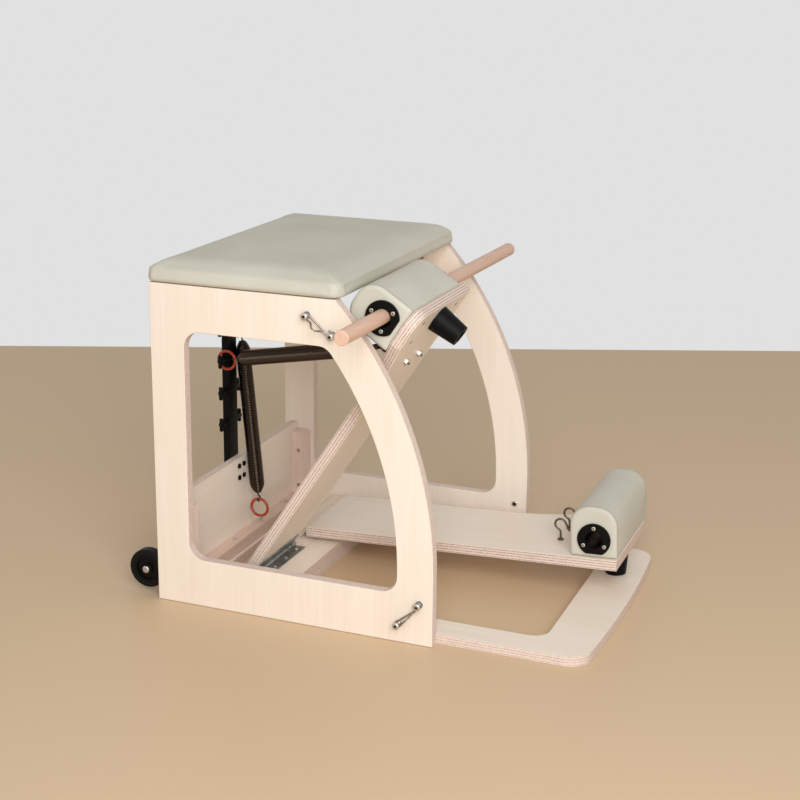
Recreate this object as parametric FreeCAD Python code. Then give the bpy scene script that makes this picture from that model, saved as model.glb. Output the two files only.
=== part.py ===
import FreeCAD, Part
import math
import os

# Split-pedal pilates chair. Millimetres, +Z up, front towards -Y, left towards -X.
# The origin lies on the floor, on the centre plane, under the pedals' hinge line.

Vector = FreeCAD.Vector
X_AXIS = Vector(1, 0, 0)
Y_AXIS = Vector(0, 1, 0)
Z_AXIS = Vector(0, 0, 1)
ORIGIN = Vector(0, 0, 0)

# Shared clearances and cutting overrun
cut_overrun = 2.0
seat_gap = 0.3
running_gap = 0.05

# Side panels
overall_width = 570.0
panel_ply = 20.0
panel_height = 600.0
panel_depth = 540.0
hinge_setback = 157.0
front_curve_radius = 695.0
front_curve_start = 130.0
window_rear_margin = 67.0
window_top_margin = 83.0
window_foot_margin = 90.0
window_front_margin = 67.0
window_corner_radius = 30.0
ply_edge_round = 1.5

# Floor plate
base_ply = 18.0
base_ahead = 24.0
base_front_bow = 11.0
base_corner_radius = 42.0
base_side_rail = 60.0
base_front_rail = 97.0
base_rear_rail = 34.0
base_cut_radius = 30.0

# Hinge board on the floor plate
hinge_board_ply = 20.0
hinge_board_ahead = 77.0
hinge_board_behind = 42.0
hinge_board_side_gap = 3.0
hinge_slot_inner = 10.0
hinge_slot_margin = 10.0
hinge_slot_rear_room = 2.0
hinge_slot_front_room = 5.0

# Pedal hinges
leaf_thickness = 2.5
leaf_width = 24.0
leaf_inner = 30.0
leaf_side_gap = 53.0
knuckle_radius = 4.5
knuckle_count = 5
knuckle_gap = 0.4
pin_radius = 2.5
pin_head_radius = 4.0
pin_head_height = 2.0

# Back of the frame
back_ply = 15.0
back_panel_height = 193.0
top_rail_height = 60.0
corner_block_side = 30.0
corner_block_height = 178.0
block_hole_radius = 4.0
block_hole_depth = 12.0
block_hole_heights = (60.0, 137.0)
batten_depth = 28.0
batten_height = 24.0

# Spring post and its pegs
post_width = 34.0
post_depth = 14.0
post_bottom = 120.0
post_top_gap = 10.0
peg_radius = 6.0
peg_pitch = 63.5
peg_place_share = 0.473
peg_count = 4
peg_disc_radius = 15.0
peg_disc_thickness = 6.0
peg_reach = 18.0
post_bolt_radius = 3.0
post_bolt_head_radius = 5.0
post_bolt_head_height = 3.0
post_bolt_spacing_x = 20.0
post_bolt_spacing_z = 24.0
post_bolt_below_top = 16.0

# Seat
seat_ply = 15.0
seat_board_inset = 14.0
seat_front_overhang = 4.0
cushion_lift = 3.0
cushion_thickness = 40.0
cushion_corner_radius = 28.0
cushion_side_draw = 2.0
cushion_level_shares = (0.0, 0.12, 0.45, 0.75, 0.92, 1.0)
cushion_insets = (4.0, 0.0, 0.5, 4.0, 12.0, 46.0)

# Pedal boards
pedal_ply = 20.0
pedal_rear = 12.0
pedal_length = 635.0
pedal_inner = 3.0
arm_side_gap = 61.0
head_side_gap = 8.0
head_run = 69.0
flare_run = 216.0
head_corner_radius = 36.0
low_angle = 2.55
raised_lag_angle = 13.45

# Pedal pads with their through tubes and end flanges
pad_width = 80.0
pad_height = 96.0
pad_front_margin = 3.0
pad_top_radius = 34.0
pad_foot_radius = 4.0
pad_end_inset = 2.5
pad_end_run = 7.0
pad_side_draw = 1.0
pad_crown = 1.0
tube_height = 36.0
tube_bore_radius = 16.5
tube_wall = 2.0
flange_radius = 31.0
flange_thickness = 4.0
flange_foot_gap = 9.0
flange_margin = 1.0
flange_screw_circle = 22.5
flange_screw_radius = 3.2
flange_screw_height = 1.2
flange_shank_radius = 1.5
flange_shank_length = 14.0

# Wire hooks on the pedals
hook_wire_radius = 2.5
hook_setback = 127.0
hook_places = (82.0, 145.0)
hook_curl_radius = 10.0
hook_neck_radius = 6.0
hook_neck_turn = 60.0
hook_curl_turn = 240.0
hook_stem = 10.0
hook_tip = 4.0
hook_collar_radius = 6.0
hook_collar_height = 3.0
hook_nut_radius = 6.5
hook_nut_height = 5.0
hook_end_length = 4.0

# Bumpers under the pedal heads
bumper_setback = 32.0
bumper_root_radius = 25.0
bumper_tip_radius = 19.5
bumper_recess_radius = 12.0
bumper_recess_depth = 12.0
bumper_screw_radius = 3.0
bumper_screw_head_radius = 7.0
bumper_screw_head_height = 4.0
bumper_screw_bite = 14.0

# Countersunk screws under the pedal heads
pad_screw_radius = 4.0
pad_screw_shank = 2.0
pad_screw_cone = 3.0
pad_screw_length = 34.0
pad_screw_spread = 21.0
pad_screw_edge = 46.0

# Dowel through the left pad
dowel_radius = 13.0
dowel_left_end = 428.0
dowel_right_end = 447.0
dowel_end_round = 2.0

# Extension springs with coned ends, and their rings
spring_wire_radius = 2.25
spring_mean_radius = 13.0
spring_turns = 40
cone_turns = 3
cone_end_radius = 6.0
cone_entry = 7.0
eye_radius = 8.25
eye_neck_radius = 6.0
eye_turn = 270.0
eye_stem = 6.0
hang_foot_gap = 46.0
hang_ring_angle = 40.0
hang_side_gap = 1.0
ring_wire_radius = 2.75
ring_mean_radius = 17.75
gap_sample_step = 1.5
gap_skip_share = 0.3
half_share = 0.5
straight_share = 1e-6
slope_share = 1e-4

# Strap bails on the panels' outer faces
bail_span = 56.5
bail_upper_back = 306.0
bail_upper_drop = 30.5
bail_upper_slope = -32.8
bail_lower_back = 477.5
bail_lower_height = 35.5
bail_lower_slope = 47.3
bail_wire_radius = 1.5
bail_stand = 8.0
bail_bend_radius = 6.0
bail_bend_turn = 35.0
bail_short_leg = 6.0
bail_short_tip = 12.0
bail_far_tip = 9.0
stud_neck_radius = 3.0
stud_head_radius = 7.0
stud_head_height = 5.0
stud_neck_length = 12.0
stud_washer_radius = 7.0
stud_washer_height = 1.5
stud_nut_radius = 6.0
stud_nut_height = 4.0

# Transport wheels
wheel_radius = 37.0
wheel_width = 22.0
wheel_centre_height = 45.0
wheel_behind = 36.0
tyre_depth = 9.0
tyre_shoulder = 4.0
wheel_side_gap = 0.5
hub_dish_depth = 5.0
hub_dish_rim = 6.0
hub_boss_radius = 10.0
axle_radius = 4.0
axle_head_radius = 7.0
axle_head_height = 5.0
bracket_thickness = 4.0
bracket_height = 50.0
bracket_foot = 40.0
bracket_nose = 16.0
axle_nut_radius = 7.0
axle_nut_height = 6.0

# Small wood screws of the frame
frame_screw_radius = 4.5
frame_screw_height = 2.5
batten_screw_count = 4
board_screw_rows = (26.0, 60.0)

# Planes and heights that follow from the sizes above
rear_y = hinge_setback
front_y = hinge_setback - panel_depth
inner_x = overall_width / 2 - panel_ply
outer_x = overall_width / 2
curve_centre_y = front_y + front_curve_radius
back_y = rear_y - post_depth
back_front_y = back_y - back_ply
board_top = base_ply + hinge_board_ply
axis_height = board_top - leaf_thickness + knuckle_radius
curve_rise = panel_height - front_curve_start
seat_front_y = curve_centre_y - math.sqrt(front_curve_radius ** 2 - curve_rise ** 2)
high_angle = math.degrees(math.atan2(panel_height - axis_height, -seat_front_y)) - raised_lag_angle
bail_upper = (bail_upper_back, panel_height - bail_upper_drop)
bail_lower = (bail_lower_back, bail_lower_height)
leaf_outer = inner_x - leaf_side_gap
arm_outer = inner_x - arm_side_gap
head_outer = inner_x - head_side_gap
flare_end = pedal_length - head_run
flare_start = flare_end - flare_run
pedal_top = knuckle_radius + pedal_ply
tube_level = pedal_top + tube_height
tube_outer_radius = tube_bore_radius + tube_wall
pad_centre = pedal_length - pad_front_margin - pad_width / 2
pad_inner = pedal_inner + flange_margin + flange_thickness
pad_outer = head_outer - flange_margin - flange_thickness
pad_middle = (pad_inner + pad_outer) / 2
bumper_station = pedal_length - bumper_setback
hook_station = pedal_length - hook_setback
hook_curl_rise = (hook_neck_radius + hook_curl_radius) * math.sin(math.radians(hook_neck_turn))
hook_curl_level = pedal_top + hook_stem + hook_curl_rise
hook_curl_shift = (hook_neck_radius + hook_curl_radius) * math.cos(math.radians(hook_neck_turn))
hook_curl_station = hook_station + hook_curl_shift - hook_neck_radius
peg_x = post_width / 2 + peg_reach / 2
peg_y = back_y + post_depth / 2
peg_spread = peg_pitch * (peg_count - 1)
peg_room = panel_height - top_rail_height - back_panel_height - peg_spread
peg_first = back_panel_height + peg_room * peg_place_share
peg_levels = [peg_first + index * peg_pitch for index in range(peg_count)]


# Basic solids

def block(x0, x1, y0, y1, z0, z1):
    return Part.makeBox(x1 - x0, y1 - y0, z1 - z0, Vector(x0, y0, z0))


def rod(start, direction, radius, length):
    return Part.makeCylinder(radius, length, start, direction)


def hexagon(start, direction, radius, length):
    turn = FreeCAD.Rotation(Z_AXIS, direction)
    corners = []
    for index in range(6):
        angle = math.radians(60 * index)
        corners.append(start + turn.multVec(Vector(radius * math.cos(angle), radius * math.sin(angle), 0)))
    face = Part.Face(Part.makePolygon(corners + corners[:1]))
    return face.extrude(direction * length)


def mirrored(shape):
    return shape.mirror(ORIGIN, X_AXIS)


def cut_all(shape, tools):
    for tool in tools:
        shape = shape.cut(tool)
    return shape


def one_solid(shape):
    return shape.removeSplitter().Solids[0]


def round_edges(shape, radius, wanted):
    edges = [edge for edge in shape.Edges if wanted(edge)]
    return shape.makeFillet(radius, edges)


def lies_at(edge, axis, place):
    reach = [vertex.Point.dot(axis) for vertex in edge.Vertexes]
    return max(abs(value - place) for value in reach) < running_gap


def runs_along(edge, axis):
    if not isinstance(edge.Curve, Part.Line):
        return False
    return abs(edge.tangentAt(edge.FirstParameter).dot(axis)) > math.cos(math.radians(1))


# Bent wire and springs

def trace(origin, ahead, left, moves):
    """A flat wire path: a move is (length,) for a straight run or (radius, turn) for a bend."""
    edges = []
    point = origin
    heading = 0.0
    for move in moves:
        forward = ahead * math.cos(heading) + left * math.sin(heading)
        side = left * math.cos(heading) - ahead * math.sin(heading)
        if len(move) == 1:
            target = point + forward * move[0]
            edges.append(Part.LineSegment(point, target).toShape())
        else:
            turn = math.radians(move[1])
            middle = bend_point(point, forward, side, move[0], turn / 2)
            target = bend_point(point, forward, side, move[0], turn)
            edges.append(Part.Arc(point, middle, target).toShape())
            heading += turn
        point = target
    return edges


def bend_point(point, forward, side, radius, turn):
    inward = side * math.copysign(radius, turn)
    return point + forward * (radius * math.sin(abs(turn))) + inward * (1 - math.cos(turn))


def tube_along(edges, radius):
    path = Part.Wire(edges)
    first = edges[0]
    start = first.valueAt(first.FirstParameter)
    tangent = first.tangentAt(first.FirstParameter)
    profile = Part.Wire(Part.makeCircle(radius, start, tangent))
    return path.makePipeShell([profile], True, False)


def arc_from(start, tangent, end):
    chord = end - start
    along = chord * (1 / chord.Length)
    across = tangent - along * tangent.dot(along)
    if across.Length < straight_share:
        return Part.LineSegment(start, end).toShape()
    across = across * (1 / across.Length)
    angle = tangent.getAngle(chord)
    middle = start + chord * half_share + across * (chord.Length / 2 * math.tan(angle / 2))
    return Part.Arc(start, middle, end).toShape()


def biarc(start, start_tangent, end, end_tangent):
    """Two arcs that leave and arrive along the given directions."""
    chord = end - start
    spread = 2 * (1 - start_tangent.dot(end_tangent))
    lean = chord.dot(start_tangent + end_tangent)
    reach = (math.sqrt(lean * lean + spread * chord.dot(chord)) - lean) / spread
    joint = (start + end + (start_tangent - end_tangent) * reach) * half_share
    half = joint - start
    along = half * (1 / half.Length)
    joint_tangent = along * (2 * start_tangent.dot(along)) - start_tangent
    return [arc_from(start, start_tangent, joint), arc_from(joint, joint_tangent, end)]


def coil_radius(share_turns, total_turns):
    from_end = min(share_turns, total_turns - share_turns)
    if from_end >= cone_turns:
        return spring_mean_radius
    return cone_end_radius + (spring_mean_radius - cone_end_radius) * from_end / cone_turns


def coil_path(start, axis, side, length):
    """Points and directions of the winding at every half turn, between the two stems."""
    across = axis.cross(side)
    samples = [(start, axis)]
    rise = (length - 2 * cone_entry) / spring_turns
    for index in range(2 * spring_turns + 1):
        places = []
        for turns in (index / 2 - slope_share, index / 2, index / 2 + slope_share):
            radius = coil_radius(min(max(turns, 0), spring_turns), spring_turns)
            angle = 2 * math.pi * turns
            level = axis * (cone_entry + rise * turns)
            around = side * (radius * math.cos(angle)) + across * (radius * math.sin(angle))
            places.append(start + level + around)
        direction = places[2] - places[0]
        samples.append((places[1], direction * (1 / direction.Length)))
    samples.append((start + axis * length, axis))
    edges = []
    for (p0, t0), (p1, t1) in zip(samples, samples[1:]):
        edges += biarc(p0, t0, p1, t1)
    return edges


def eye_moves():
    """From the stem: a small bend aside, then round the eye the other way and a short straight tip."""
    bend = math.degrees(math.acos(eye_neck_radius / (eye_neck_radius + eye_radius)))
    return [(eye_stem,), (eye_neck_radius, bend), (eye_radius, -eye_turn), (2 * spring_wire_radius,)]


def eye_reach(crossing):
    """From the winding's end to the middle of the held ring's wire, for a pull at an angle to the ring."""
    rise = math.sqrt((eye_neck_radius + eye_radius) ** 2 - eye_neck_radius ** 2)
    apart = spring_wire_radius + ring_wire_radius + seat_gap
    inward = ring_mean_radius * math.cos(crossing)
    grip = inward - math.sqrt(inward ** 2 - 2 * ring_mean_radius * apart + apart ** 2)
    return eye_stem + rise + eye_radius - grip


def turned_round(edges):
    """The same path walked from its far end."""
    out = []
    for edge in reversed(edges):
        first = edge.valueAt(edge.LastParameter)
        last = edge.valueAt(edge.FirstParameter)
        if isinstance(edge.Curve, Part.Line):
            out.append(Part.LineSegment(first, last).toShape())
        else:
            middle = edge.valueAt((edge.FirstParameter + edge.LastParameter) / 2)
            out.append(Part.Arc(first, middle, last).toShape())
    return out


def extension_spring(start, end, start_plane, end_plane, start_crossing, end_crossing):
    """One unbroken wire: eye, stem, cone, turns, cone, stem, eye. Each eye lies in a plane of its own."""
    axis = end - start
    axis = axis * (1 / axis.Length)
    first = start + axis * eye_reach(start_crossing)
    last = end - axis * eye_reach(end_crossing)
    length = (last - first).Length
    side = start_plane - axis * start_plane.dot(axis)
    side = side * (1 / side.Length)
    far_side = end_plane - axis * end_plane.dot(axis)
    far_side = far_side * (1 / far_side.Length)
    edges = turned_round(trace(first, axis * -1, side, eye_moves()))
    edges += coil_path(first, axis, side, length)
    edges += trace(last, axis, far_side, eye_moves())
    report_self_gap(edges)
    return tube_along(edges, spring_wire_radius)


def report_self_gap(edges):
    points = []
    walked = 0.0
    for edge in edges:
        count = max(2, int(edge.Length / gap_sample_step))
        for index in range(count):
            share = index / count
            place = edge.FirstParameter + (edge.LastParameter - edge.FirstParameter) * share
            points.append((walked + edge.Length * share, edge.valueAt(place)))
        walked += edge.Length
    skip = 2 * math.pi * cone_end_radius * gap_skip_share
    window = 4 * math.pi * spring_mean_radius
    least = None
    for index, (place, point) in enumerate(points):
        for other_place, other in points[index + 1:]:
            apart = other_place - place
            if apart > window:
                break
            if apart > skip + 2 * spring_wire_radius:
                gap = (other - point).Length
                least = gap if least is None or gap < least else least
    print("spring self gap %.2f mm" % (least - 2 * spring_wire_radius))


def ring(centre, normal):
    return Part.makeTorus(ring_mean_radius, ring_wire_radius, centre, normal)


# Side panels

def curve_point(radius, height):
    rise = height - front_curve_start
    return Vector(0, curve_centre_y - math.sqrt(radius ** 2 - rise ** 2), height)


def panel_wire(radius, rear, bottom, top):
    """Closed outline with a straight back and a front edge that curves in from the start height up."""
    foot = Vector(0, curve_centre_y - radius, bottom)
    start = Vector(0, curve_centre_y - radius, front_curve_start)
    middle = curve_point(radius, (front_curve_start + top) / 2)
    end = curve_point(radius, top)
    edges = [Part.LineSegment(Vector(0, rear, top), Vector(0, rear, bottom)).toShape(),
             Part.LineSegment(Vector(0, rear, bottom), foot).toShape(),
             Part.LineSegment(foot, start).toShape(),
             Part.Arc(start, middle, end).toShape(),
             Part.LineSegment(end, Vector(0, rear, top)).toShape()]
    return Part.Wire(edges)


def bail_posts(place, slope):
    """Both stud places of a bail: the given one, set from the rear edge and the floor, and the other."""
    start = Vector(0, rear_y - place[0], place[1])
    angle = math.radians(slope)
    return start, start + Vector(0, -bail_span * math.cos(angle), bail_span * math.sin(angle))


def side_panel():
    """Right-hand panel: plywood, one large rounded window, holes for the bail studs."""
    sheet = Part.Face(panel_wire(front_curve_radius, rear_y, 0, panel_height)).extrude(X_AXIS * panel_ply)
    hole_wire = panel_wire(front_curve_radius - window_front_margin, rear_y - window_rear_margin,
                           window_foot_margin, panel_height - window_top_margin)
    hole = Part.Face(hole_wire).extrude(X_AXIS * (panel_ply + 2 * cut_overrun))
    hole.translate(X_AXIS * -cut_overrun)
    smooth = Vector(0, curve_centre_y - front_curve_radius + window_front_margin, front_curve_start)

    def is_corner(edge):
        start = edge.Vertexes[0].Point
        apart = math.hypot(start.y - smooth.y, start.z - smooth.z)
        return runs_along(edge, X_AXIS) and apart > window_corner_radius / 2

    hole = round_edges(hole, window_corner_radius, is_corner)
    sheet = sheet.cut(hole)
    sheet = round_edges(sheet, ply_edge_round,
                        lambda e: lies_at(e, X_AXIS, 0) or lies_at(e, X_AXIS, panel_ply))
    sheet.translate(X_AXIS * inner_x)
    holes = [rod(Vector(inner_x - cut_overrun, post.y, post.z), X_AXIS, stud_neck_radius + running_gap,
                 panel_ply + 2 * cut_overrun) for post in all_bail_posts()]
    return one_solid(cut_all(sheet, holes))


def all_bail_posts():
    return list(bail_posts(bail_upper, bail_upper_slope)) + list(bail_posts(bail_lower, bail_lower_slope))


def bail(start, end):
    """Sprung wire clip: a straight leg from stud to stud, wound half round both, and a waved short leg."""
    ahead = (end - start) * (1 / bail_span)
    left = X_AXIS.cross(ahead)
    wind = stud_neck_radius + bail_wire_radius + seat_gap
    level = Vector(outer_x + bail_stand, start.y, start.z)
    begin = level + left * -wind
    straight = trace(begin, ahead, left, [(bail_span,), (wind, 180), (bail_far_tip,)])
    waved = [(wind, 180), (bail_short_leg,), (bail_bend_radius, bail_bend_turn),
             (bail_bend_radius, -bail_bend_turn), (bail_short_tip,)]
    around = trace(begin, ahead * -1, left, waved)
    return tube_along(turned_round(around) + straight, bail_wire_radius)


def bail_stud(post):
    """Round-headed screw through the panel, with a washer outside and a nut inside."""
    inside = inner_x - stud_nut_height
    neck_end = outer_x + stud_neck_length
    shank = rod(Vector(inside, post.y, post.z), X_AXIS, stud_neck_radius, neck_end - inside)
    head = rod(Vector(neck_end, post.y, post.z), X_AXIS, stud_head_radius, stud_head_height)
    head = round_edges(head, stud_head_height / 2, lambda e: lies_at(e, X_AXIS, neck_end + stud_head_height))
    washer = rod(Vector(outer_x, post.y, post.z), X_AXIS, stud_washer_radius, stud_washer_height)
    nut = hexagon(Vector(inside, post.y, post.z), X_AXIS, stud_nut_radius, stud_nut_height)
    return one_solid(shank.fuse([head, washer, nut]))


# Floor plate and hinge board

def base_plate():
    """Plywood loop on the floor: bowed front edge, rounded corners, two rounded openings."""
    front = -pedal_length - base_ahead
    shoulder = front + base_front_bow
    corners = [Vector(inner_x, shoulder, 0), Vector(inner_x, back_front_y, 0),
               Vector(-inner_x, back_front_y, 0), Vector(-inner_x, shoulder, 0)]
    edges = [Part.LineSegment(a, b).toShape() for a, b in zip(corners, corners[1:])]
    edges.append(Part.Arc(corners[3], Vector(0, front, 0), corners[0]).toShape())
    plate = Part.Face(Part.Wire(edges)).extrude(Z_AXIS * base_ply)
    plate = round_edges(plate, base_corner_radius,
                        lambda e: runs_along(e, Z_AXIS) and lies_at(e, Y_AXIS, shoulder))
    side = inner_x - base_side_rail
    loop = block(-side, side, front + base_front_rail, -hinge_board_ahead,
                 -cut_overrun, base_ply + cut_overrun)
    loop = round_edges(loop, base_cut_radius, lambda e: runs_along(e, Z_AXIS))
    rear = block(-side, side, hinge_board_behind, back_front_y - base_rear_rail,
                 -cut_overrun, base_ply + cut_overrun)
    plate = cut_all(plate, [loop, rear])
    return one_solid(round_edges(plate, ply_edge_round, lambda e: lies_at(e, Z_AXIS, base_ply)))


def hinge_board():
    """Board across the floor plate with a shallow recess for each pedal's fixed hinge leaf."""
    half = inner_x - hinge_board_side_gap
    board = block(-half, half, -hinge_board_ahead, hinge_board_behind, base_ply, board_top)
    slot = block(hinge_slot_inner, leaf_outer + hinge_slot_margin, -leaf_width - hinge_slot_front_room,
                 knuckle_radius + hinge_slot_rear_room, board_top - leaf_thickness, board_top + cut_overrun)
    return one_solid(cut_all(board, [slot, mirrored(slot)]))


# Hinges, drawn level on the hinge line

def knuckle_spans(first):
    pitch = (leaf_outer - leaf_inner) / knuckle_count
    spans = []
    for index in range(first, knuckle_count, 2):
        start = leaf_inner + index * pitch
        spans.append((start + knuckle_gap / 2, start + pitch - knuckle_gap / 2))
    return spans


def hinge_leaf(first, level):
    """A flat leaf on the front side of the hinge line with its rolled knuckles."""
    leaf = block(leaf_inner, leaf_outer, -leaf_width, 0, level, level + leaf_thickness)
    others = knuckle_spans(1 - first)
    gaps = [block(a - knuckle_gap, b + knuckle_gap, -knuckle_radius - seat_gap, cut_overrun,
                  level - cut_overrun, level + leaf_thickness + cut_overrun) for a, b in others]
    leaf = cut_all(leaf, gaps)
    rolls = [rod(Vector(a, 0, 0), X_AXIS, knuckle_radius, b - a) for a, b in knuckle_spans(first)]
    leaf = leaf.fuse(rolls)
    bore = rod(Vector(leaf_inner - cut_overrun, 0, 0), X_AXIS, pin_radius + running_gap,
               leaf_outer - leaf_inner + 2 * cut_overrun)
    return one_solid(leaf.cut(bore))


def hinge_pin():
    pin = rod(Vector(leaf_inner - pin_head_height, 0, 0), X_AXIS, pin_radius,
              leaf_outer - leaf_inner + 2 * pin_head_height)
    heads = [rod(Vector(leaf_inner - pin_head_height, 0, 0), X_AXIS, pin_head_radius, pin_head_height),
             rod(Vector(leaf_outer, 0, 0), X_AXIS, pin_head_radius, pin_head_height)]
    return one_solid(pin.fuse(heads))


# Pedal pieces, drawn level for the right-hand side; stations run forward from the hinge line

def pedal_board():
    """Plywood board: straight inner edge, arm that flares out to the head, rounded outer front corner."""
    low = knuckle_radius
    rise = head_outer - arm_outer
    run = flare_end - flare_start
    flare_radius = (rise ** 2 + run ** 2) / (2 * rise)
    half_run = run / 2
    middle = arm_outer + flare_radius - math.sqrt(flare_radius ** 2 - half_run ** 2)
    points = [Vector(pedal_inner, -pedal_rear, low), Vector(arm_outer, -pedal_rear, low),
              Vector(arm_outer, -flare_start, low), Vector(head_outer, -flare_end, low),
              Vector(head_outer, -pedal_length, low), Vector(pedal_inner, -pedal_length, low)]
    edges = [Part.LineSegment(points[0], points[1]).toShape(),
             Part.LineSegment(points[1], points[2]).toShape(),
             Part.Arc(points[2], Vector(middle, -flare_start - half_run, low), points[3]).toShape(),
             Part.LineSegment(points[3], points[4]).toShape(),
             Part.LineSegment(points[4], points[5]).toShape(),
             Part.LineSegment(points[5], points[0]).toShape()]
    board = Part.Face(Part.Wire(edges)).extrude(Z_AXIS * pedal_ply)

    def is_head_corner(edge):
        in_front = lies_at(edge, Y_AXIS, -pedal_length)
        return in_front and runs_along(edge, Z_AXIS) and lies_at(edge, X_AXIS, head_outer)

    board = round_edges(board, head_corner_radius, is_head_corner)
    board = round_edges(board, ply_edge_round,
                        lambda e: lies_at(e, Z_AXIS, low) or lies_at(e, Z_AXIS, pedal_top))
    holes = [rod(Vector(place, -hook_station, low - cut_overrun), Z_AXIS, hook_wire_radius + running_gap,
                 pedal_ply + 2 * cut_overrun) for place in hook_places]
    holes += [pad_screw(x, station, running_gap) for x, station in pad_screw_places()]
    holes.append(rod(Vector(pad_middle, -bumper_station, low - cut_overrun), Z_AXIS,
                     bumper_screw_radius + running_gap, bumper_screw_bite + cut_overrun))
    return one_solid(cut_all(board, holes))


def pad_section(x, inset, crown):
    """Profile of the pad across its length: flat foot, straight sides, rounded shoulders, crowned top."""
    half = pad_width / 2 - inset
    low = pedal_top
    top = pedal_top + pad_height - inset
    shoulder = pad_top_radius
    foot = pad_foot_radius
    bend = math.cos(math.radians(45))

    def at(across, level):
        return Vector(x, -pad_centre - across, level)

    def arc(a, b, c):
        return Part.Arc(at(*a), at(*b), at(*c)).toShape()

    def line(a, b):
        return Part.LineSegment(at(*a), at(*b)).toShape()

    flat = half - shoulder
    edges = [line((-half + foot, low), (half - foot, low)),
             arc((half - foot, low), (half - foot + foot * bend, low + foot - foot * bend),
                 (half, low + foot)),
             line((half, low + foot), (half, top - shoulder)),
             arc((half, top - shoulder), (flat + shoulder * bend, top - shoulder + shoulder * bend),
                 (flat, top)),
             arc((flat, top), (0, top + crown), (-flat, top)),
             arc((-flat, top), (-flat - shoulder * bend, top - shoulder + shoulder * bend),
                 (-half, top - shoulder)),
             line((-half, top - shoulder), (-half, low + foot)),
             arc((-half, low + foot), (-half + foot - foot * bend, low + foot - foot * bend),
                 (-half + foot, low))]
    return Part.Wire(edges)


def pedal_pad():
    """Upholstered pad: drawn in at its ends and a little along its middle, with a hole for the tube."""
    stations = [(pad_inner, pad_end_inset), (pad_inner + pad_end_run, 0), (pad_middle, pad_side_draw),
                (pad_outer - pad_end_run, 0), (pad_outer, pad_end_inset)]
    body = Part.makeLoft([pad_section(x, inset, pad_crown) for x, inset in stations], True, True)
    hole = rod(Vector(pad_inner - cut_overrun, -pad_centre, tube_level), X_AXIS,
               tube_outer_radius + seat_gap, pad_outer - pad_inner + 2 * cut_overrun)
    holes = [hole] + [pad_screw(x, station, seat_gap) for x, station in pad_screw_places()]
    holes += [rod(start, direction, flange_shank_radius + seat_gap, flange_shank_length + seat_gap)
              for start, direction in flange_screw_starts()]
    return one_solid(cut_all(body, holes))


def pad_tube():
    length = pad_outer - pad_inner
    start = Vector(pad_inner, -pad_centre, tube_level)
    return one_solid(rod(start, X_AXIS, tube_outer_radius, length).cut(
        rod(start - X_AXIS * cut_overrun, X_AXIS, tube_bore_radius, length + 2 * cut_overrun)))


def pad_flanges():
    """Round end flanges with a flat foot over the board and three screw holes each."""
    out = []
    for start in (pad_inner - flange_thickness, pad_outer):
        disc = rod(Vector(start, -pad_centre, tube_level), X_AXIS, flange_radius, flange_thickness)
        foot = block(start - cut_overrun, start + flange_thickness + cut_overrun,
                     -pad_centre - 2 * flange_radius, -pad_centre + 2 * flange_radius,
                     tube_level - 2 * flange_radius, pedal_top + flange_foot_gap)
        bore = rod(Vector(start - cut_overrun, -pad_centre, tube_level), X_AXIS, tube_bore_radius,
                   flange_thickness + 2 * cut_overrun)
        disc = cut_all(disc, [foot, bore])
        holes = [rod(Vector(start - cut_overrun, place.y, place.z), X_AXIS,
                     flange_shank_radius + running_gap, flange_thickness + 2 * cut_overrun)
                 for place in flange_screw_places()]
        out.append(one_solid(cut_all(disc, holes)))
    return Part.makeCompound(out)


def flange_screw_places():
    places = []
    for index in range(3):
        angle = math.radians(90 + 120 * index)
        places.append(Vector(0, -pad_centre + flange_screw_circle * math.cos(angle),
                             tube_level + flange_screw_circle * math.sin(angle)))
    return places


def flange_screw_starts():
    starts = [(Vector(pad_inner, place.y, place.z), X_AXIS) for place in flange_screw_places()]
    return starts + [(Vector(pad_outer, place.y, place.z), X_AXIS * -1) for place in flange_screw_places()]


def flange_screws():
    screws = []
    for start, inward in flange_screw_starts():
        outside = start - inward * flange_thickness
        head = rod(outside - inward * flange_screw_height, inward, flange_screw_radius, flange_screw_height)
        shank = rod(outside, inward, flange_shank_radius, flange_thickness + flange_shank_length)
        screws.append(one_solid(head.fuse(shank)))
    return Part.makeCompound(screws)


def pad_screw_places():
    stations = (pad_centre - pad_screw_spread, pad_centre + pad_screw_spread)
    return [(x, station) for x in (pedal_inner + pad_screw_edge, head_outer - pad_screw_edge)
            for station in stations]


def pad_screw(x, station, room):
    """Countersunk screw from below, up through the board into the pad."""
    low = Vector(x, -station, knuckle_radius)
    cone = Part.makeCone(pad_screw_radius + room, pad_screw_shank + room, pad_screw_cone, low, Z_AXIS)
    return cone.fuse(rod(low, Z_AXIS, pad_screw_shank + room, pad_screw_length + room))


def pad_screws():
    return Part.makeCompound([one_solid(pad_screw(x, station, 0)) for x, station in pad_screw_places()])


def hook(place):
    """Question-mark wire hook: stem through the board, a collar on top, a curl that opens forward."""
    low = Vector(place, -hook_station, knuckle_radius - hook_nut_height - hook_end_length)
    stem = pedal_top + hook_stem - low.z
    moves = [(stem,), (hook_neck_radius, hook_neck_turn), (hook_curl_radius, -hook_curl_turn), (hook_tip,)]
    wire = tube_along(trace(low, Z_AXIS, Y_AXIS, moves), hook_wire_radius)
    collar = rod(Vector(place, -hook_station, pedal_top), Z_AXIS, hook_collar_radius, hook_collar_height)
    return one_solid(wire.fuse(collar))


def hook_nut(place):
    low = Vector(place, -hook_station, knuckle_radius - hook_nut_height)
    nut = hexagon(low, Z_AXIS, hook_nut_radius, hook_nut_height)
    return one_solid(nut.cut(rod(low - Z_AXIS * cut_overrun, Z_AXIS, hook_wire_radius + running_gap,
                                 hook_nut_height + 2 * cut_overrun)))


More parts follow.
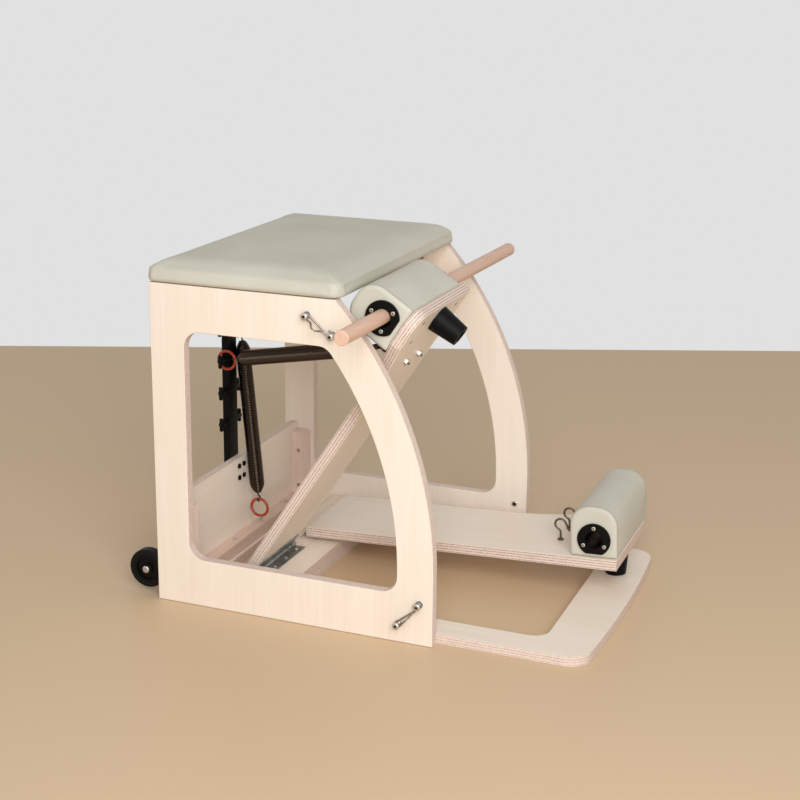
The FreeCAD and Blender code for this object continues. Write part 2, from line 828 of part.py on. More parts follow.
def bumper_height():
    """Rest height of the bumper: its lowest tip edge stands just clear of the floor plate."""
    angle = math.radians(low_angle)
    station = bumper_station - bumper_tip_radius
    level = axis_height + knuckle_radius * math.cos(angle) + station * math.sin(angle)
    return (level - base_ply - seat_gap) / math.cos(angle)


def bumper():
    height = bumper_height()
    root = Vector(pad_middle, -bumper_station, knuckle_radius)
    cone = Part.makeCone(bumper_root_radius, bumper_tip_radius, height, root, Z_AXIS * -1)
    recess = rod(root - Z_AXIS * (height + cut_overrun), Z_AXIS, bumper_recess_radius,
                 bumper_recess_depth + cut_overrun)
    hole = rod(root - Z_AXIS * height, Z_AXIS, bumper_screw_radius + running_gap, height + cut_overrun)
    return one_solid(cut_all(cone, [recess, hole]))


def bumper_screw():
    root = Vector(pad_middle, -bumper_station, knuckle_radius)
    under = bumper_height() - bumper_recess_depth
    head = rod(root - Z_AXIS * (under + bumper_screw_head_height), Z_AXIS, bumper_screw_head_radius,
               bumper_screw_head_height)
    shank = rod(root - Z_AXIS * under, Z_AXIS, bumper_screw_radius, under + bumper_screw_bite)
    return one_solid(head.fuse(shank))


def pedal_pieces():
    return {
        "pedal_board": pedal_board(),
        "pedal_pad": pedal_pad(),
        "pad_tube": pad_tube(),
        "pad_flanges": pad_flanges(),
        "flange_screws": flange_screws(),
        "pad_screws": pad_screws(),
        "pedal_hooks": Part.makeCompound([hook(place) for place in hook_places]),
        "hook_nuts": Part.makeCompound([hook_nut(place) for place in hook_places]),
        "bumper": bumper(),
        "bumper_screw": bumper_screw(),
        "hinge_pedal_leaf": hinge_leaf(1, knuckle_radius - leaf_thickness),
    }


def raised(shape, angle):
    """Swings a piece drawn level on the hinge line up to its angle, at the hinge's height."""
    out = shape.copy()
    out.rotate(ORIGIN, X_AXIS, -angle)
    out.translate(Z_AXIS * axis_height)
    return out


def pedal_point(station, level, angle):
    turn = math.radians(angle)
    return Vector(0, level * math.sin(turn) - station * math.cos(turn),
                  axis_height + level * math.cos(turn) + station * math.sin(turn))


# Back of the frame, post and pegs

def post_bolt_places():
    """Bolt centres through the back panel below and the top rail above."""
    low = back_panel_height - post_bolt_below_top
    high = panel_height - top_rail_height / 2 + post_bolt_spacing_z / 2
    places = []
    for top in (low, high):
        for level in (top, top - post_bolt_spacing_z):
            for side in (-post_bolt_spacing_x / 2, post_bolt_spacing_x / 2):
                places.append(Vector(side, 0, level))
    return places


def with_bolt_holes(shape):
    holes = [rod(Vector(place.x, back_front_y - cut_overrun, place.z), Y_AXIS,
                 post_bolt_radius + running_gap, back_ply + post_depth + 2 * cut_overrun)
             for place in post_bolt_places()]
    return one_solid(cut_all(shape, holes))


def back_panel():
    return with_bolt_holes(block(-inner_x, inner_x, back_front_y, back_y, 0, back_panel_height))


def top_back_rail():
    return with_bolt_holes(block(-inner_x, inner_x, back_front_y, back_y,
                                 panel_height - top_rail_height, panel_height))


def spring_post():
    bar = block(-post_width / 2, post_width / 2, back_y, rear_y, post_bottom, panel_height - post_top_gap)
    holes = [rod(Vector(-post_width, peg_y, level), X_AXIS, peg_radius + running_gap, 2 * post_width)
             for level in peg_levels]
    return with_bolt_holes(cut_all(bar, holes))


def spring_peg(level):
    """One rod through the post with a round keeper disc on each end."""
    reach = post_width / 2 + peg_reach
    shaft = rod(Vector(-reach, peg_y, level), X_AXIS, peg_radius, 2 * reach)
    discs = []
    for start in (-reach - peg_disc_thickness, reach):
        disc = rod(Vector(start, peg_y, level), X_AXIS, peg_disc_radius, peg_disc_thickness)
        discs.append(round_edges(disc, peg_disc_thickness / 4, lambda e: isinstance(e.Curve, Part.Circle)))
    return one_solid(shaft.fuse(discs))


def post_bolts():
    bolts = []
    for place in post_bolt_places():
        start = Vector(place.x, back_front_y - post_bolt_head_height, place.z)
        head = rod(start, Y_AXIS, post_bolt_head_radius, post_bolt_head_height)
        shank = rod(start, Y_AXIS, post_bolt_radius, post_bolt_head_height + back_ply + post_depth)
        bolts.append(one_solid(head.fuse(shank)))
    return Part.makeCompound(bolts)


def corner_block():
    """Square hardwood block in the corner of back and side panel, drilled for its two screws."""
    bar = block(inner_x - corner_block_side, inner_x, back_front_y - corner_block_side, back_front_y,
                base_ply, corner_block_height)
    middle = back_front_y - corner_block_side / 2
    holes = [rod(Vector(inner_x - corner_block_side - cut_overrun, middle, level), X_AXIS, block_hole_radius,
                 block_hole_depth + cut_overrun) for level in block_hole_heights]
    return one_solid(cut_all(bar, holes))


def foot_batten():
    half = inner_x - corner_block_side
    return block(-half, half, back_front_y - batten_depth, back_front_y, base_ply, base_ply + batten_height)


def frame_screw(place, direction):
    """Round screw head that stands on the wood, driven along the direction."""
    outside = place - direction * frame_screw_height
    head = rod(outside, direction, frame_screw_radius, frame_screw_height)
    return round_edges(head, frame_screw_height / 2, lambda e: lies_at(e, direction, outside.dot(direction)))


def frame_screws():
    screws = []
    down = Z_AXIS * -1
    half = inner_x - corner_block_side
    pitch = 2 * half / batten_screw_count
    for index in range(batten_screw_count):
        x = pitch * (index + half_share) - half
        place = Vector(x, back_front_y - batten_depth / 2, base_ply + batten_height)
        screws.append(frame_screw(place, down))
    for ahead in board_screw_rows:
        for side in (-1, 1):
            x = side * (leaf_outer + hinge_slot_margin + inner_x) / 2
            screws.append(frame_screw(Vector(x, -ahead, board_top), down))
    return Part.makeCompound(screws)


# Seat

def seat_board():
    front = seat_front_y - seat_front_overhang
    return block(-outer_x + seat_board_inset, outer_x - seat_board_inset, front + seat_board_inset,
                 rear_y - seat_board_inset, panel_height, panel_height + seat_ply)


def cushion_section(level, inset):
    """Rounded rectangle whose sides bow in a little between the corners."""
    x = outer_x - inset
    front = seat_front_y - seat_front_overhang + inset
    rear = rear_y - inset
    radius = cushion_corner_radius
    middle = (front + rear) / 2
    bend = radius - radius * math.cos(math.radians(45))
    draw = cushion_side_draw
    stops = [((x, front + radius), (x - draw, middle), (x, rear - radius)),
             ((x, rear - radius), (x - bend, rear - bend), (x - radius, rear)),
             ((x - radius, rear), (0, rear - draw), (-x + radius, rear)),
             ((-x + radius, rear), (-x + bend, rear - bend), (-x, rear - radius)),
             ((-x, rear - radius), (-x + draw, middle), (-x, front + radius)),
             ((-x, front + radius), (-x + bend, front + bend), (-x + radius, front)),
             ((-x + radius, front), (0, front + draw), (x - radius, front)),
             ((x - radius, front), (x - bend, front + bend), (x, front + radius))]
    edges = [Part.Arc(*[Vector(a, b, level) for a, b in stop]).toShape() for stop in stops]
    return Part.Wire(edges)


def seat_cushion():
    """Foam and cover wrapped over the seat board: rolled edges and a low crown."""
    low = panel_height + cushion_lift
    sections = [cushion_section(low + share * cushion_thickness, inset)
                for share, inset in zip(cushion_level_shares, cushion_insets)]
    body = Part.makeLoft(sections, True, True)
    board = seat_board().BoundBox
    pocket = block(board.XMin - seat_gap, board.XMax + seat_gap, board.YMin - seat_gap,
                   board.YMax + seat_gap, panel_height - cut_overrun, board.ZMax + seat_gap)
    return one_solid(body.cut(pocket))


# Dowel

def dowel():
    """Beech rod in the raised left pad's tube, tipped by its longer right end as far as both bores allow."""
    centre = pedal_point(pad_centre, tube_level, high_angle)
    slack = tube_bore_radius - dowel_radius - seat_gap
    tilt = math.atan(slack / (pad_outer + flange_thickness))
    along = Vector(math.cos(tilt), 0, -math.sin(tilt))
    start = centre - along * dowel_left_end
    bar = rod(start, along, dowel_radius, dowel_left_end + dowel_right_end)
    first = start.dot(along)
    last = first + dowel_left_end + dowel_right_end
    bar = round_edges(bar, dowel_end_round, lambda e: lies_at(e, along, first) or lies_at(e, along, last))
    return one_solid(bar)


# Springs and rings

def ring_on_peg():
    """How far a ring's middle hangs from its peg's middle."""
    return ring_mean_radius - ring_wire_radius - peg_radius - seat_gap


def left_spring():
    """From the left side's second peg down to the raised pedal's outer hook."""
    peg = Vector(-peg_x, peg_y, peg_levels[2])
    curl = pedal_point(hook_curl_station, hook_curl_level, high_angle) - X_AXIS * hook_places[1]
    pull = Vector(0, curl.y - peg.y, curl.z - peg.z)
    pull = pull * (1 / pull.Length)
    rear_ring_centre = peg + pull * ring_on_peg()
    in_curl = hook_curl_radius - hook_wire_radius - ring_wire_radius - seat_gap
    front_ring_centre = curl - pull * (in_curl + ring_mean_radius)
    start = rear_ring_centre + pull * ring_mean_radius
    end = front_ring_centre - pull * ring_mean_radius
    across = pull.cross(X_AXIS)
    coil = extension_spring(start, end, X_AXIS, across, 0, pull.getAngle(end - start))
    return coil, ring(rear_ring_centre, X_AXIS), ring(front_ring_centre, across)


def hang_start():
    """Middle of the top ring's wire where the hanging spring's eye holds it."""
    peg = Vector(post_width / 2 + ring_wire_radius + hang_side_gap, peg_y, peg_levels[3])
    tilt = math.radians(hang_ring_angle)
    fall = Vector(0, -math.sin(tilt), -math.cos(tilt))
    return peg + fall * ring_on_peg(), peg + fall * (ring_on_peg() + ring_mean_radius)


def hang_angle(start):
    """Lean of the hanging spring: it passes just in front of the bolt heads at the back panel's top edge."""
    out = start.y - back_front_y
    down = start.z - back_panel_height
    side = spring_mean_radius + spring_wire_radius + post_bolt_head_height + seat_gap
    return math.asin(side / math.hypot(out, down)) + math.atan2(out, down)


def right_spring():
    """Hangs free from the right side's top peg, with a ring at each end."""
    top_ring_centre, start = hang_start()
    lean = hang_angle(start)
    fall = Vector(0, -math.sin(lean), -math.cos(lean))
    low_ring_level = base_ply + hang_foot_gap + ring_wire_radius + ring_mean_radius
    low_ring_centre = start + fall * ((start.z - low_ring_level) / math.cos(lean))
    end = low_ring_centre - fall * ring_mean_radius
    coil = extension_spring(start, end, X_AXIS, X_AXIS, math.radians(hang_ring_angle) - lean, 0)
    rings = Part.makeCompound([ring(top_ring_centre, X_AXIS), ring(low_ring_centre, X_AXIS)])
    return coil, rings


# Transport wheels, right-hand side

def wheel_middle():
    return Vector(inner_x - wheel_width, rear_y + wheel_behind, wheel_centre_height)


def wheel_tyre():
    start = wheel_middle()
    tyre = rod(start, X_AXIS, wheel_radius, wheel_width)
    tyre = round_edges(tyre, tyre_shoulder, lambda e: isinstance(e.Curve, Part.Circle))
    return one_solid(tyre.cut(rod(start - X_AXIS * cut_overrun, X_AXIS, wheel_radius - tyre_depth,
                                  wheel_width + 2 * cut_overrun)))


def wheel_hub():
    """Solid hub with a dished outer face round a raised boss."""
    start = wheel_middle()
    radius = wheel_radius - tyre_depth
    hub = rod(start, X_AXIS, radius, wheel_width)
    face = start + X_AXIS * (wheel_width - hub_dish_depth)
    dish = rod(face, X_AXIS, radius - hub_dish_rim, hub_dish_depth + cut_overrun)
    dish = dish.cut(rod(face, X_AXIS, hub_boss_radius, hub_dish_depth + cut_overrun))
    bore = rod(start - X_AXIS * cut_overrun, X_AXIS, axle_radius + running_gap,
               wheel_width + 2 * cut_overrun)
    return one_solid(cut_all(hub, [dish, bore]))


def wheel_bracket():
    """Bent steel angle: a foot on the back panel's rear face and an ear that carries the axle."""
    middle = wheel_middle()
    ear_x = middle.x - wheel_side_gap - bracket_thickness
    low = wheel_centre_height - bracket_height / 2
    high = wheel_centre_height + bracket_height / 2
    foot = block(ear_x - bracket_foot, ear_x + bracket_thickness, back_y, back_y + bracket_thickness,
                 low, high)
    ear = block(ear_x, ear_x + bracket_thickness, back_y, middle.y + bracket_nose, low, high)
    tip = middle.y + bracket_nose
    ear = round_edges(ear, bracket_nose, lambda e: runs_along(e, X_AXIS) and lies_at(e, Y_AXIS, tip))
    hole = rod(Vector(ear_x - cut_overrun, middle.y, middle.z), X_AXIS, axle_radius + running_gap,
               bracket_thickness + 2 * cut_overrun)
    return one_solid(foot.fuse(ear).cut(hole))


def wheel_axle():
    """Bolt through wheel and ear: dome head outside, nut inside."""
    middle = wheel_middle()
    ear_x = middle.x - wheel_side_gap - bracket_thickness
    inside = Vector(ear_x - axle_nut_height, middle.y, middle.z)
    head_x = inner_x + wheel_side_gap
    shank = rod(inside, X_AXIS, axle_radius, head_x - inside.x)
    head = rod(Vector(head_x, middle.y, middle.z), X_AXIS, axle_head_radius, axle_head_height)
    head = round_edges(head, axle_head_height / 2, lambda e: lies_at(e, X_AXIS, head_x + axle_head_height))
    nut = hexagon(inside, X_AXIS, axle_nut_radius, axle_nut_height)
    return one_solid(shank.fuse([head, nut]))


# Assembly

def both_sides(nodes, name, shape):
    nodes["right_" + name] = shape
    nodes["left_" + name] = mirrored(shape)


def build():
    nodes = {}
    both_sides(nodes, "side_panel", side_panel())
    both_sides(nodes, "bail_studs", Part.makeCompound([bail_stud(post) for post in all_bail_posts()]))
    bails = [bail(*bail_posts(bail_upper, bail_upper_slope)),
             bail(*bail_posts(bail_lower, bail_lower_slope))]
    both_sides(nodes, "bails", Part.makeCompound(bails))
    nodes["base_plate"] = base_plate()
    nodes["hinge_board"] = hinge_board()
    nodes["back_panel"] = back_panel()
    nodes["top_back_rail"] = top_back_rail()
    both_sides(nodes, "corner_block", corner_block())
    nodes["foot_batten"] = foot_batten()
    nodes["frame_screws"] = frame_screws()
    nodes["spring_post"] = spring_post()
    nodes["spring_pegs"] = Part.makeCompound([spring_peg(level) for level in peg_levels])
    nodes["post_bolts"] = post_bolts()
    nodes["seat_board"] = seat_board()
    nodes["seat_cushion"] = seat_cushion()
    both_sides(nodes, "hinge_base_leaf", raised(hinge_leaf(0, -knuckle_radius), 0))
    both_sides(nodes, "hinge_pin", raised(hinge_pin(), 0))
    for name, shape in pedal_pieces().items():
        nodes["right_" + name] = raised(shape, low_angle)
        nodes["left_" + name] = raised(mirrored(shape), high_angle)
    nodes["dowel"] = dowel()
    coil, rear_ring, front_ring = left_spring()
    nodes["left_spring_coil"] = coil
    nodes["left_spring_rear_ring"] = rear_ring
    nodes["left_spring_front_ring"] = front_ring
    nodes["right_spring_coil"], nodes["right_spring_rings"] = right_spring()
    both_sides(nodes, "wheel_tyre", wheel_tyre())
    both_sides(nodes, "wheel_hub", wheel_hub())
    both_sides(nodes, "wheel_bracket", wheel_bracket())
    both_sides(nodes, "wheel_axle", wheel_axle())
    return nodes


os.makedirs("parts", exist_ok=True)
for node_name, node_shape in build().items():
    node_shape.exportStep("parts/%s.step" % node_name)
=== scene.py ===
# Looks of a split-pedal pilates chair: lacquered birch plywood, sage vinyl pads, black springs.
# Metres, +Z up, front towards -Y, left towards -X, origin on the floor under the pedals' hinge line.
import math

import bpy
from mathutils import Matrix, Vector


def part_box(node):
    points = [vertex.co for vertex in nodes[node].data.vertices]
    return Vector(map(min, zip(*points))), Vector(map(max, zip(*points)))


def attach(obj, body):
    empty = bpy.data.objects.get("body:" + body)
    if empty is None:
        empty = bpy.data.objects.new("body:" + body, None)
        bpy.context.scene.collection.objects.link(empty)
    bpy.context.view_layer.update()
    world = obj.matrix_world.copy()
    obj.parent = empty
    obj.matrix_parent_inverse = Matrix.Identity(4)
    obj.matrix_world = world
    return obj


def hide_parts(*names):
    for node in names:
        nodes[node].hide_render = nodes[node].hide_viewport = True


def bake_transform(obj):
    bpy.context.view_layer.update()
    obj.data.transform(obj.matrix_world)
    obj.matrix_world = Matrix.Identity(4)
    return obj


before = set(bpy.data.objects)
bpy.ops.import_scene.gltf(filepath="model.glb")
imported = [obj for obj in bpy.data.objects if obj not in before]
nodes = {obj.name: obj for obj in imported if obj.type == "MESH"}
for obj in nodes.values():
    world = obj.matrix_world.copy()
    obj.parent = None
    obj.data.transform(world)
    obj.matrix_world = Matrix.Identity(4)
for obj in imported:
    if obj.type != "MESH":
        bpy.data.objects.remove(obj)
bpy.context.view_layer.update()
sharp_angle, smooth_angle = 0.87, math.radians(40)


# Side panels: two sheets of birch plywood cut to a curved front with one large window each.
# The faces are clear lacquered; the sanded edges show the stack of plies and their glue lines.
def linear(hex_colour):
    """An sRGB hex value as linear RGBA."""
    out = []
    for start in (0, 2, 4):
        value = int(hex_colour[start:start + 2], 16) / 255
        out.append(value / 12.92 if value <= 0.04045 else ((value + 0.055) / 1.055) ** 2.4)
    return (*out, 1.0)


def add_node(tree, kind, inputs, **settings):
    """Adds a node: settings are its properties; inputs are sockets to link or values to set."""
    node = tree.nodes.new(kind)
    for name, value in settings.items():
        setattr(node, name, value)
    for key, value in inputs.items():
        if isinstance(value, bpy.types.NodeSocket):
            tree.links.new(value, node.inputs[key])
        else:
            node.inputs[key].default_value = value
    return node


def calculate(tree, operation, first, second=0.0):
    """The result of one Math node."""
    return add_node(tree, "ShaderNodeMath", {0: first, 1: second}, operation=operation).outputs[0]


def spread(tree, value, low, high, out_low=0.0, out_high=1.0):
    """A value's range stretched to another range."""
    inputs = {"Value": value, "From Min": low, "From Max": high, "To Min": out_low, "To Max": out_high}
    return add_node(tree, "ShaderNodeMapRange", inputs).outputs[0]


def mix_colours(tree, share, first, second):
    """Two colours mixed by a share; a colour is a hex value or a socket."""
    ends = [linear(colour) if isinstance(colour, str) else colour for colour in (first, second)]
    inputs = {0: share, 6: ends[0], 7: ends[1]}
    return add_node(tree, "ShaderNodeMix", inputs, data_type="RGBA").outputs[2]


def noise(tree, place, size, detail=2.0, roughness=0.5, distortion=0.0):
    """Noise with blotches of about the given size in metres."""
    inputs = {"Vector": place, "Scale": 1 / size, "Detail": detail}
    inputs.update({"Roughness": roughness, "Distortion": distortion})
    return add_node(tree, "ShaderNodeTexNoise", inputs).outputs["Fac"]


def reach_along(tree, place, direction):
    """How far a place or a normal lies along a direction."""
    inputs = {0: place, 1: direction}
    return add_node(tree, "ShaderNodeVectorMath", inputs, operation="DOT_PRODUCT").outputs["Value"]


def raise_grain(tree, shader, height, strength, depth):
    """A bump of a real depth on the surface."""
    bump = add_node(tree, "ShaderNodeBump", {"Height": height, "Strength": strength, "Distance": depth})
    tree.links.new(bump.outputs[0], shader.inputs["Normal"])


def new_material(name, colour, roughness):
    """A material with its node tree, its surface shader and the piece's own coordinates."""
    material = bpy.data.materials.new(name)
    material.use_nodes = True
    material.diffuse_color = linear(colour)
    tree = material.node_tree
    shader = tree.nodes["Principled BSDF"]
    shader.inputs["Base Color"].default_value = linear(colour)
    shader.inputs["Roughness"].default_value = roughness
    place = add_node(tree, "ShaderNodeTexCoord", {}).outputs
    return material, tree, shader, place


def dress(material, *names):
    """Gives a material to CAD nodes."""
    for name in names:
        mesh = nodes[name].data
        mesh.materials.clear()
        mesh.materials.append(material)


def birch_plywood(name, stack, grain, first_face, line_depth):
    """Plywood: its plies stack along one direction from a first face; its face grain runs along another."""
    face_light, face_dark = "F4E8D9", "EBDCC9"
    ply_light, ply_worn, ply_dark = "E7D5C8", "D4BEAE", "765645"
    ply_pair, dark_share = 0.0050, 0.24
    line_width, line_length, line_share = 0.007, 0.26, 0.55
    figure_width, figure_length, figure_share = 0.055, 0.45, 0.45
    pore_size, face_limit, edge_rough, face_rough = 0.004, 0.80, 0.62, 0.42
    material, tree, shader, place = new_material(name, face_light, 0.45)
    stack, grain = Vector(stack), Vector(grain)
    along = reach_along(tree, place["Object"], grain)
    across = reach_along(tree, place["Object"], stack.cross(grain))
    through = reach_along(tree, place["Object"], stack)

    def stretched(length, width):
        shares = {0: calculate(tree, "DIVIDE", along, length), 1: calculate(tree, "DIVIDE", across, width)}
        return add_node(tree, "ShaderNodeCombineXYZ", shares).outputs[0]

    # Pores and fine lines of the face veneer, long along the grain, over a broad pale figure.
    lines = noise(tree, stretched(line_length, line_width), 1.0, 5.0, 0.62, 0.3)
    figure = noise(tree, stretched(figure_length, figure_width), 1.0, 2.0, 0.5, 0.8)
    fine_tone = calculate(tree, "MULTIPLY", lines, line_share)
    tone = calculate(tree, "ADD", fine_tone, calculate(tree, "MULTIPLY", figure, figure_share))
    face = mix_colours(tree, spread(tree, tone, 0.30, 0.70), face_dark, face_light)
    # Edge: thick pale plies between thin end-grain plies, which the saw has left dark and uneven.
    depth = calculate(tree, "SUBTRACT", through, first_face)
    part = calculate(tree, "FRACT", calculate(tree, "DIVIDE", depth, ply_pair))
    off_middle = calculate(tree, "ABSOLUTE", calculate(tree, "SUBTRACT", part, 0.5))
    pores = noise(tree, place["Object"], pore_size, 3.0, 0.7)
    worn = mix_colours(tree, spread(tree, pores, 0.35, 0.75), ply_light, ply_worn)
    end_grain = spread(tree, off_middle, dark_share * 0.35, dark_share * 0.65, 1.0, 0.0)
    burnt = calculate(tree, "MULTIPLY", end_grain, spread(tree, pores, 0.25, 0.65, 0.35, 1.0))
    edge = mix_colours(tree, calculate(tree, "MULTIPLY", burnt, line_depth), worn, ply_dark)
    facing = calculate(tree, "ABSOLUTE", reach_along(tree, place["Normal"], stack))
    on_face = calculate(tree, "GREATER_THAN", facing, face_limit)
    tree.links.new(mix_colours(tree, on_face, edge, face), shader.inputs["Base Color"])
    tree.links.new(spread(tree, on_face, 0.0, 1.0, edge_rough, face_rough), shader.inputs["Roughness"])
    raise_grain(tree, shader, lines, 0.12, 0.0006)
    return material


for side, first_face in (("left", -0.285), ("right", 0.265)):
    panel_ply = birch_plywood(side + " panel birch ply", (1, 0, 0), (0, 0, 1), first_face, 0.25)
    dress(panel_ply, side + "_side_panel")


# Floor plate, hinge board, back panel, top rail and seat board: the same plywood laid flat or on edge.
# They are screwed between the side panels and tie the frame together.
dress(birch_plywood("floor plate birch ply", (0, 0, 1), (0, 1, 0), 0.0, 0.5), "base_plate")
dress(birch_plywood("hinge board birch ply", (0, 0, 1), (1, 0, 0), 0.018, 0.6), "hinge_board")
dress(birch_plywood("back birch ply", (0, 1, 0), (1, 0, 0), 0.128, 0.5), "back_panel", "top_back_rail")
dress(birch_plywood("seat board birch ply", (0, 0, 1), (1, 0, 0), 0.600, 0.6), "seat_board")


# Corner blocks and batten: planed pinkish hardwood strips glued and screwed into the back's corners.
# Close straight grain, oiled, with a low sheen.
def solid_wood(name, light, dark, grain, line_width, line_length, roughness):
    """Planed or turned solid wood: fine lines along the grain and short darker flecks."""
    material, tree, shader, place = new_material(name, light, roughness)
    scale = [1 / (line_length if axis else line_width) for axis in grain]
    stretch = add_node(tree, "ShaderNodeMapping", {"Vector": place["Object"], "Scale": scale}).outputs[0]
    lines = noise(tree, stretch, 1.0, 4.0, 0.65, 0.2)
    flecks = add_node(tree, "ShaderNodeTexVoronoi", {"Vector": stretch, "Scale": 2.4}).outputs["Distance"]
    fleck = spread(tree, flecks, 0.05, 0.25, 0.35, 0.0)
    tone = calculate(tree, "ADD", fleck, spread(tree, lines, 0.3, 0.7, 0.0, 0.65))
    tree.links.new(mix_colours(tree, tone, light, dark), shader.inputs["Base Color"])
    raise_grain(tree, shader, lines, 0.1, 0.0005)
    return material


dress(solid_wood("corner block hardwood", "EFD9CB", "D9BCAA", (0, 0, 1), 0.005, 0.12, 0.5),
      "left_corner_block", "right_corner_block")
dress(solid_wood("batten hardwood", "E8CFBF", "D0B09C", (1, 0, 0), 0.005, 0.16, 0.5), "foot_batten")


# Frame screws with cross recesses and the strap bails' studs with six-sided sockets: bright zinc plate.
# The bails are clips bent from zinc-plated spring wire, with a hump that stands out from the panel.
def plated_steel(name, colour, roughness, haze, haze_size):
    """Plated metal: one colour, with the gloss varied by a soft blotch of a real size."""
    material, tree, shader, place = new_material(name, colour, roughness)
    blotch = noise(tree, place["Object"], haze_size, 3.0, 0.6)
    tree.links.new(spread(tree, blotch, 0.3, 0.7, roughness, roughness + haze), shader.inputs["Roughness"])
    shader.inputs["Metallic"].default_value = 1.0
    return material


def activate(obj):
    """Selects one object alone and makes it active."""
    bpy.ops.object.select_all(action="DESELECT")
    obj.select_set(True)
    bpy.context.view_layer.objects.active = obj


def apply_modifier(obj, kind, **settings):
    """Adds a modifier with its settings and applies it."""
    activate(obj)
    modifier = obj.modifiers.new(kind.title(), kind)
    for name, value in settings.items():
        setattr(modifier, name, value)
    bpy.ops.object.modifier_apply(modifier=modifier.name)


def turned_bar(radius, low, high, sides=32, edge=0.0):
    """A round or many-sided bar along Z between two levels, with its rims broken by a small bevel."""
    bpy.ops.object.select_all(action="DESELECT")
    bpy.ops.mesh.primitive_cylinder_add(vertices=sides, radius=radius, depth=high - low)
    bar = bpy.context.object
    bar.data.transform(Matrix.Translation((0, 0, (low + high) / 2)))
    if edge:
        apply_modifier(bar, "BEVEL", width=edge, segments=3, limit_method="ANGLE", angle_limit=sharp_angle)
    return bar


def plain_block(centre, size):
    """A block of a size about its centre."""
    bpy.ops.object.select_all(action="DESELECT")
    bpy.ops.mesh.primitive_cube_add(size=1)
    block = bpy.context.object
    block.data.transform(Matrix.Translation(centre) @ Matrix.Diagonal((*size, 1)))
    return block


def cut_away(obj, tool):
    """Cuts a tool's shape out of an object; the tool is used up."""
    apply_modifier(obj, "BOOLEAN", operation="DIFFERENCE", object=tool, solver="EXACT")
    bpy.data.objects.remove(tool, do_unlink=True)


def join(pieces):
    """Several objects as one."""
    bpy.ops.object.select_all(action="DESELECT")
    for piece in pieces:
        piece.select_set(True)
    bpy.context.view_layer.objects.active = pieces[0]
    bpy.ops.object.join()
    return bpy.context.object


def screw_head(radius, low, high):
    """A pan head with a cross recess, standing along Z."""
    arm, width, depth = radius * 1.25, radius * 0.26, (high - low) * 0.6
    head = turned_bar(radius, low, high, 32, (high - low) * 0.45)
    cut_away(head, turned_bar(radius * 0.42, high - depth, high + depth, 16))
    for size in ((arm, width, 2 * depth), (width, arm, 2 * depth)):
        cut_away(head, plain_block((0, 0, high), size))
    return head


def socket_head(radius, low, high):
    """A button head along Z with a six-sided socket, whose foot is a dark plug painted as shade in the
    recess.
    """
    depth, rim = (high - low) * 0.7, (high - low) * 0.45
    head = turned_bar(radius, low, high, 32, rim)
    cut_away(head, turned_bar(radius * 0.40, high - depth, high + depth, 6))
    foot = turned_bar(radius * 0.395, low + rim * 0.1, high - depth * 0.6, 6)
    head.data.materials.append(zinc)
    foot.data.materials.append(socket_painted_shade)
    return join([head, foot])


def bent_wire(name, route, radius, kind="POLY"):
    """Round wire along a route: straight from point to point, or eased past them as a NURBS line."""
    line = bpy.data.curves.new(name, "CURVE")
    line.dimensions = "3D"
    line.bevel_depth = radius
    line.bevel_resolution = 2
    line.use_fill_caps = True
    run = line.splines.new(kind)
    run.points.add(len(route) - 1)
    for point, place in zip(run.points, route):
        point.co = (*place, 1.0)
    if kind == "NURBS":
        run.order_u = 3
        run.use_endpoint_u = True
        run.resolution_u = 8
    wire = bpy.data.objects.new(name, line)
    bpy.context.collection.objects.link(wire)
    activate(wire)
    bpy.ops.object.convert(target="MESH")
    bpy.ops.object.shade_smooth()
    return bpy.context.object


def set_out(name, pattern, places):
    """One object with a copy of the pattern at each place: a point, the way out and a turn about it."""
    copies = []
    for point, out, turn in places:
        stand = Vector((0, 0, 1)).rotation_difference(Vector(out)).to_matrix().to_4x4()
        copy = pattern.copy()
        copy.data = pattern.data.copy()
        copy.data.transform(Matrix.Translation(point) @ stand @ Matrix.Rotation(turn, 4, "Z"))
        bpy.context.collection.objects.link(copy)
        copies.append(copy)
    bpy.data.objects.remove(pattern, do_unlink=True)
    whole = join(copies)
    whole.name = name
    bpy.ops.object.shade_smooth_by_angle(angle=smooth_angle)
    return whole


zinc = plated_steel("bright zinc plate", "CFCDC8", 0.26, 0.15, 0.006)
# A near-black plug at the foot of each socket stands for the shade in the recess: painted shade.
socket_painted_shade = plated_steel("socket foot painted shade", "1C1A18", 0.5, 0.1, 0.004)
upright = (0, 0, 1)
batten_pitch, batten_row, batten_top = 0.1175, 0.114, 0.042
hinge_board_reach, hinge_board_rows, hinge_board_top = 0.2435, (-0.026, -0.060), 0.038
screw_places = []
for index in range(4):
    screw_places.append(((batten_pitch * (index - 1.5), batten_row, batten_top), upright, 0.7 * index))
for sign in (-1, 1):
    for row in hinge_board_rows:
        place = (sign * hinge_board_reach, row, hinge_board_top)
        screw_places.append((place, upright, 0.9 + 9 * row * sign))
frame_screws = set_out("frame_screw_heads", screw_head(0.0045, 0.0, 0.0025), screw_places)
frame_screws.data.materials.append(zinc)
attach(frame_screws, "frame")
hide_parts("frame_screws")

bail_steel = plated_steel("zinc-plated spring wire", "9A9188", 0.30, 0.15, 0.005)
panel_outside, bail_span, bail_wire, bail_level = 0.285, 0.0565, 0.0016, 0.0065
stud_end, stud_nut_top, stud_head, stud_top, washer_top = -0.024, -0.020, 0.012, 0.017, 0.0015
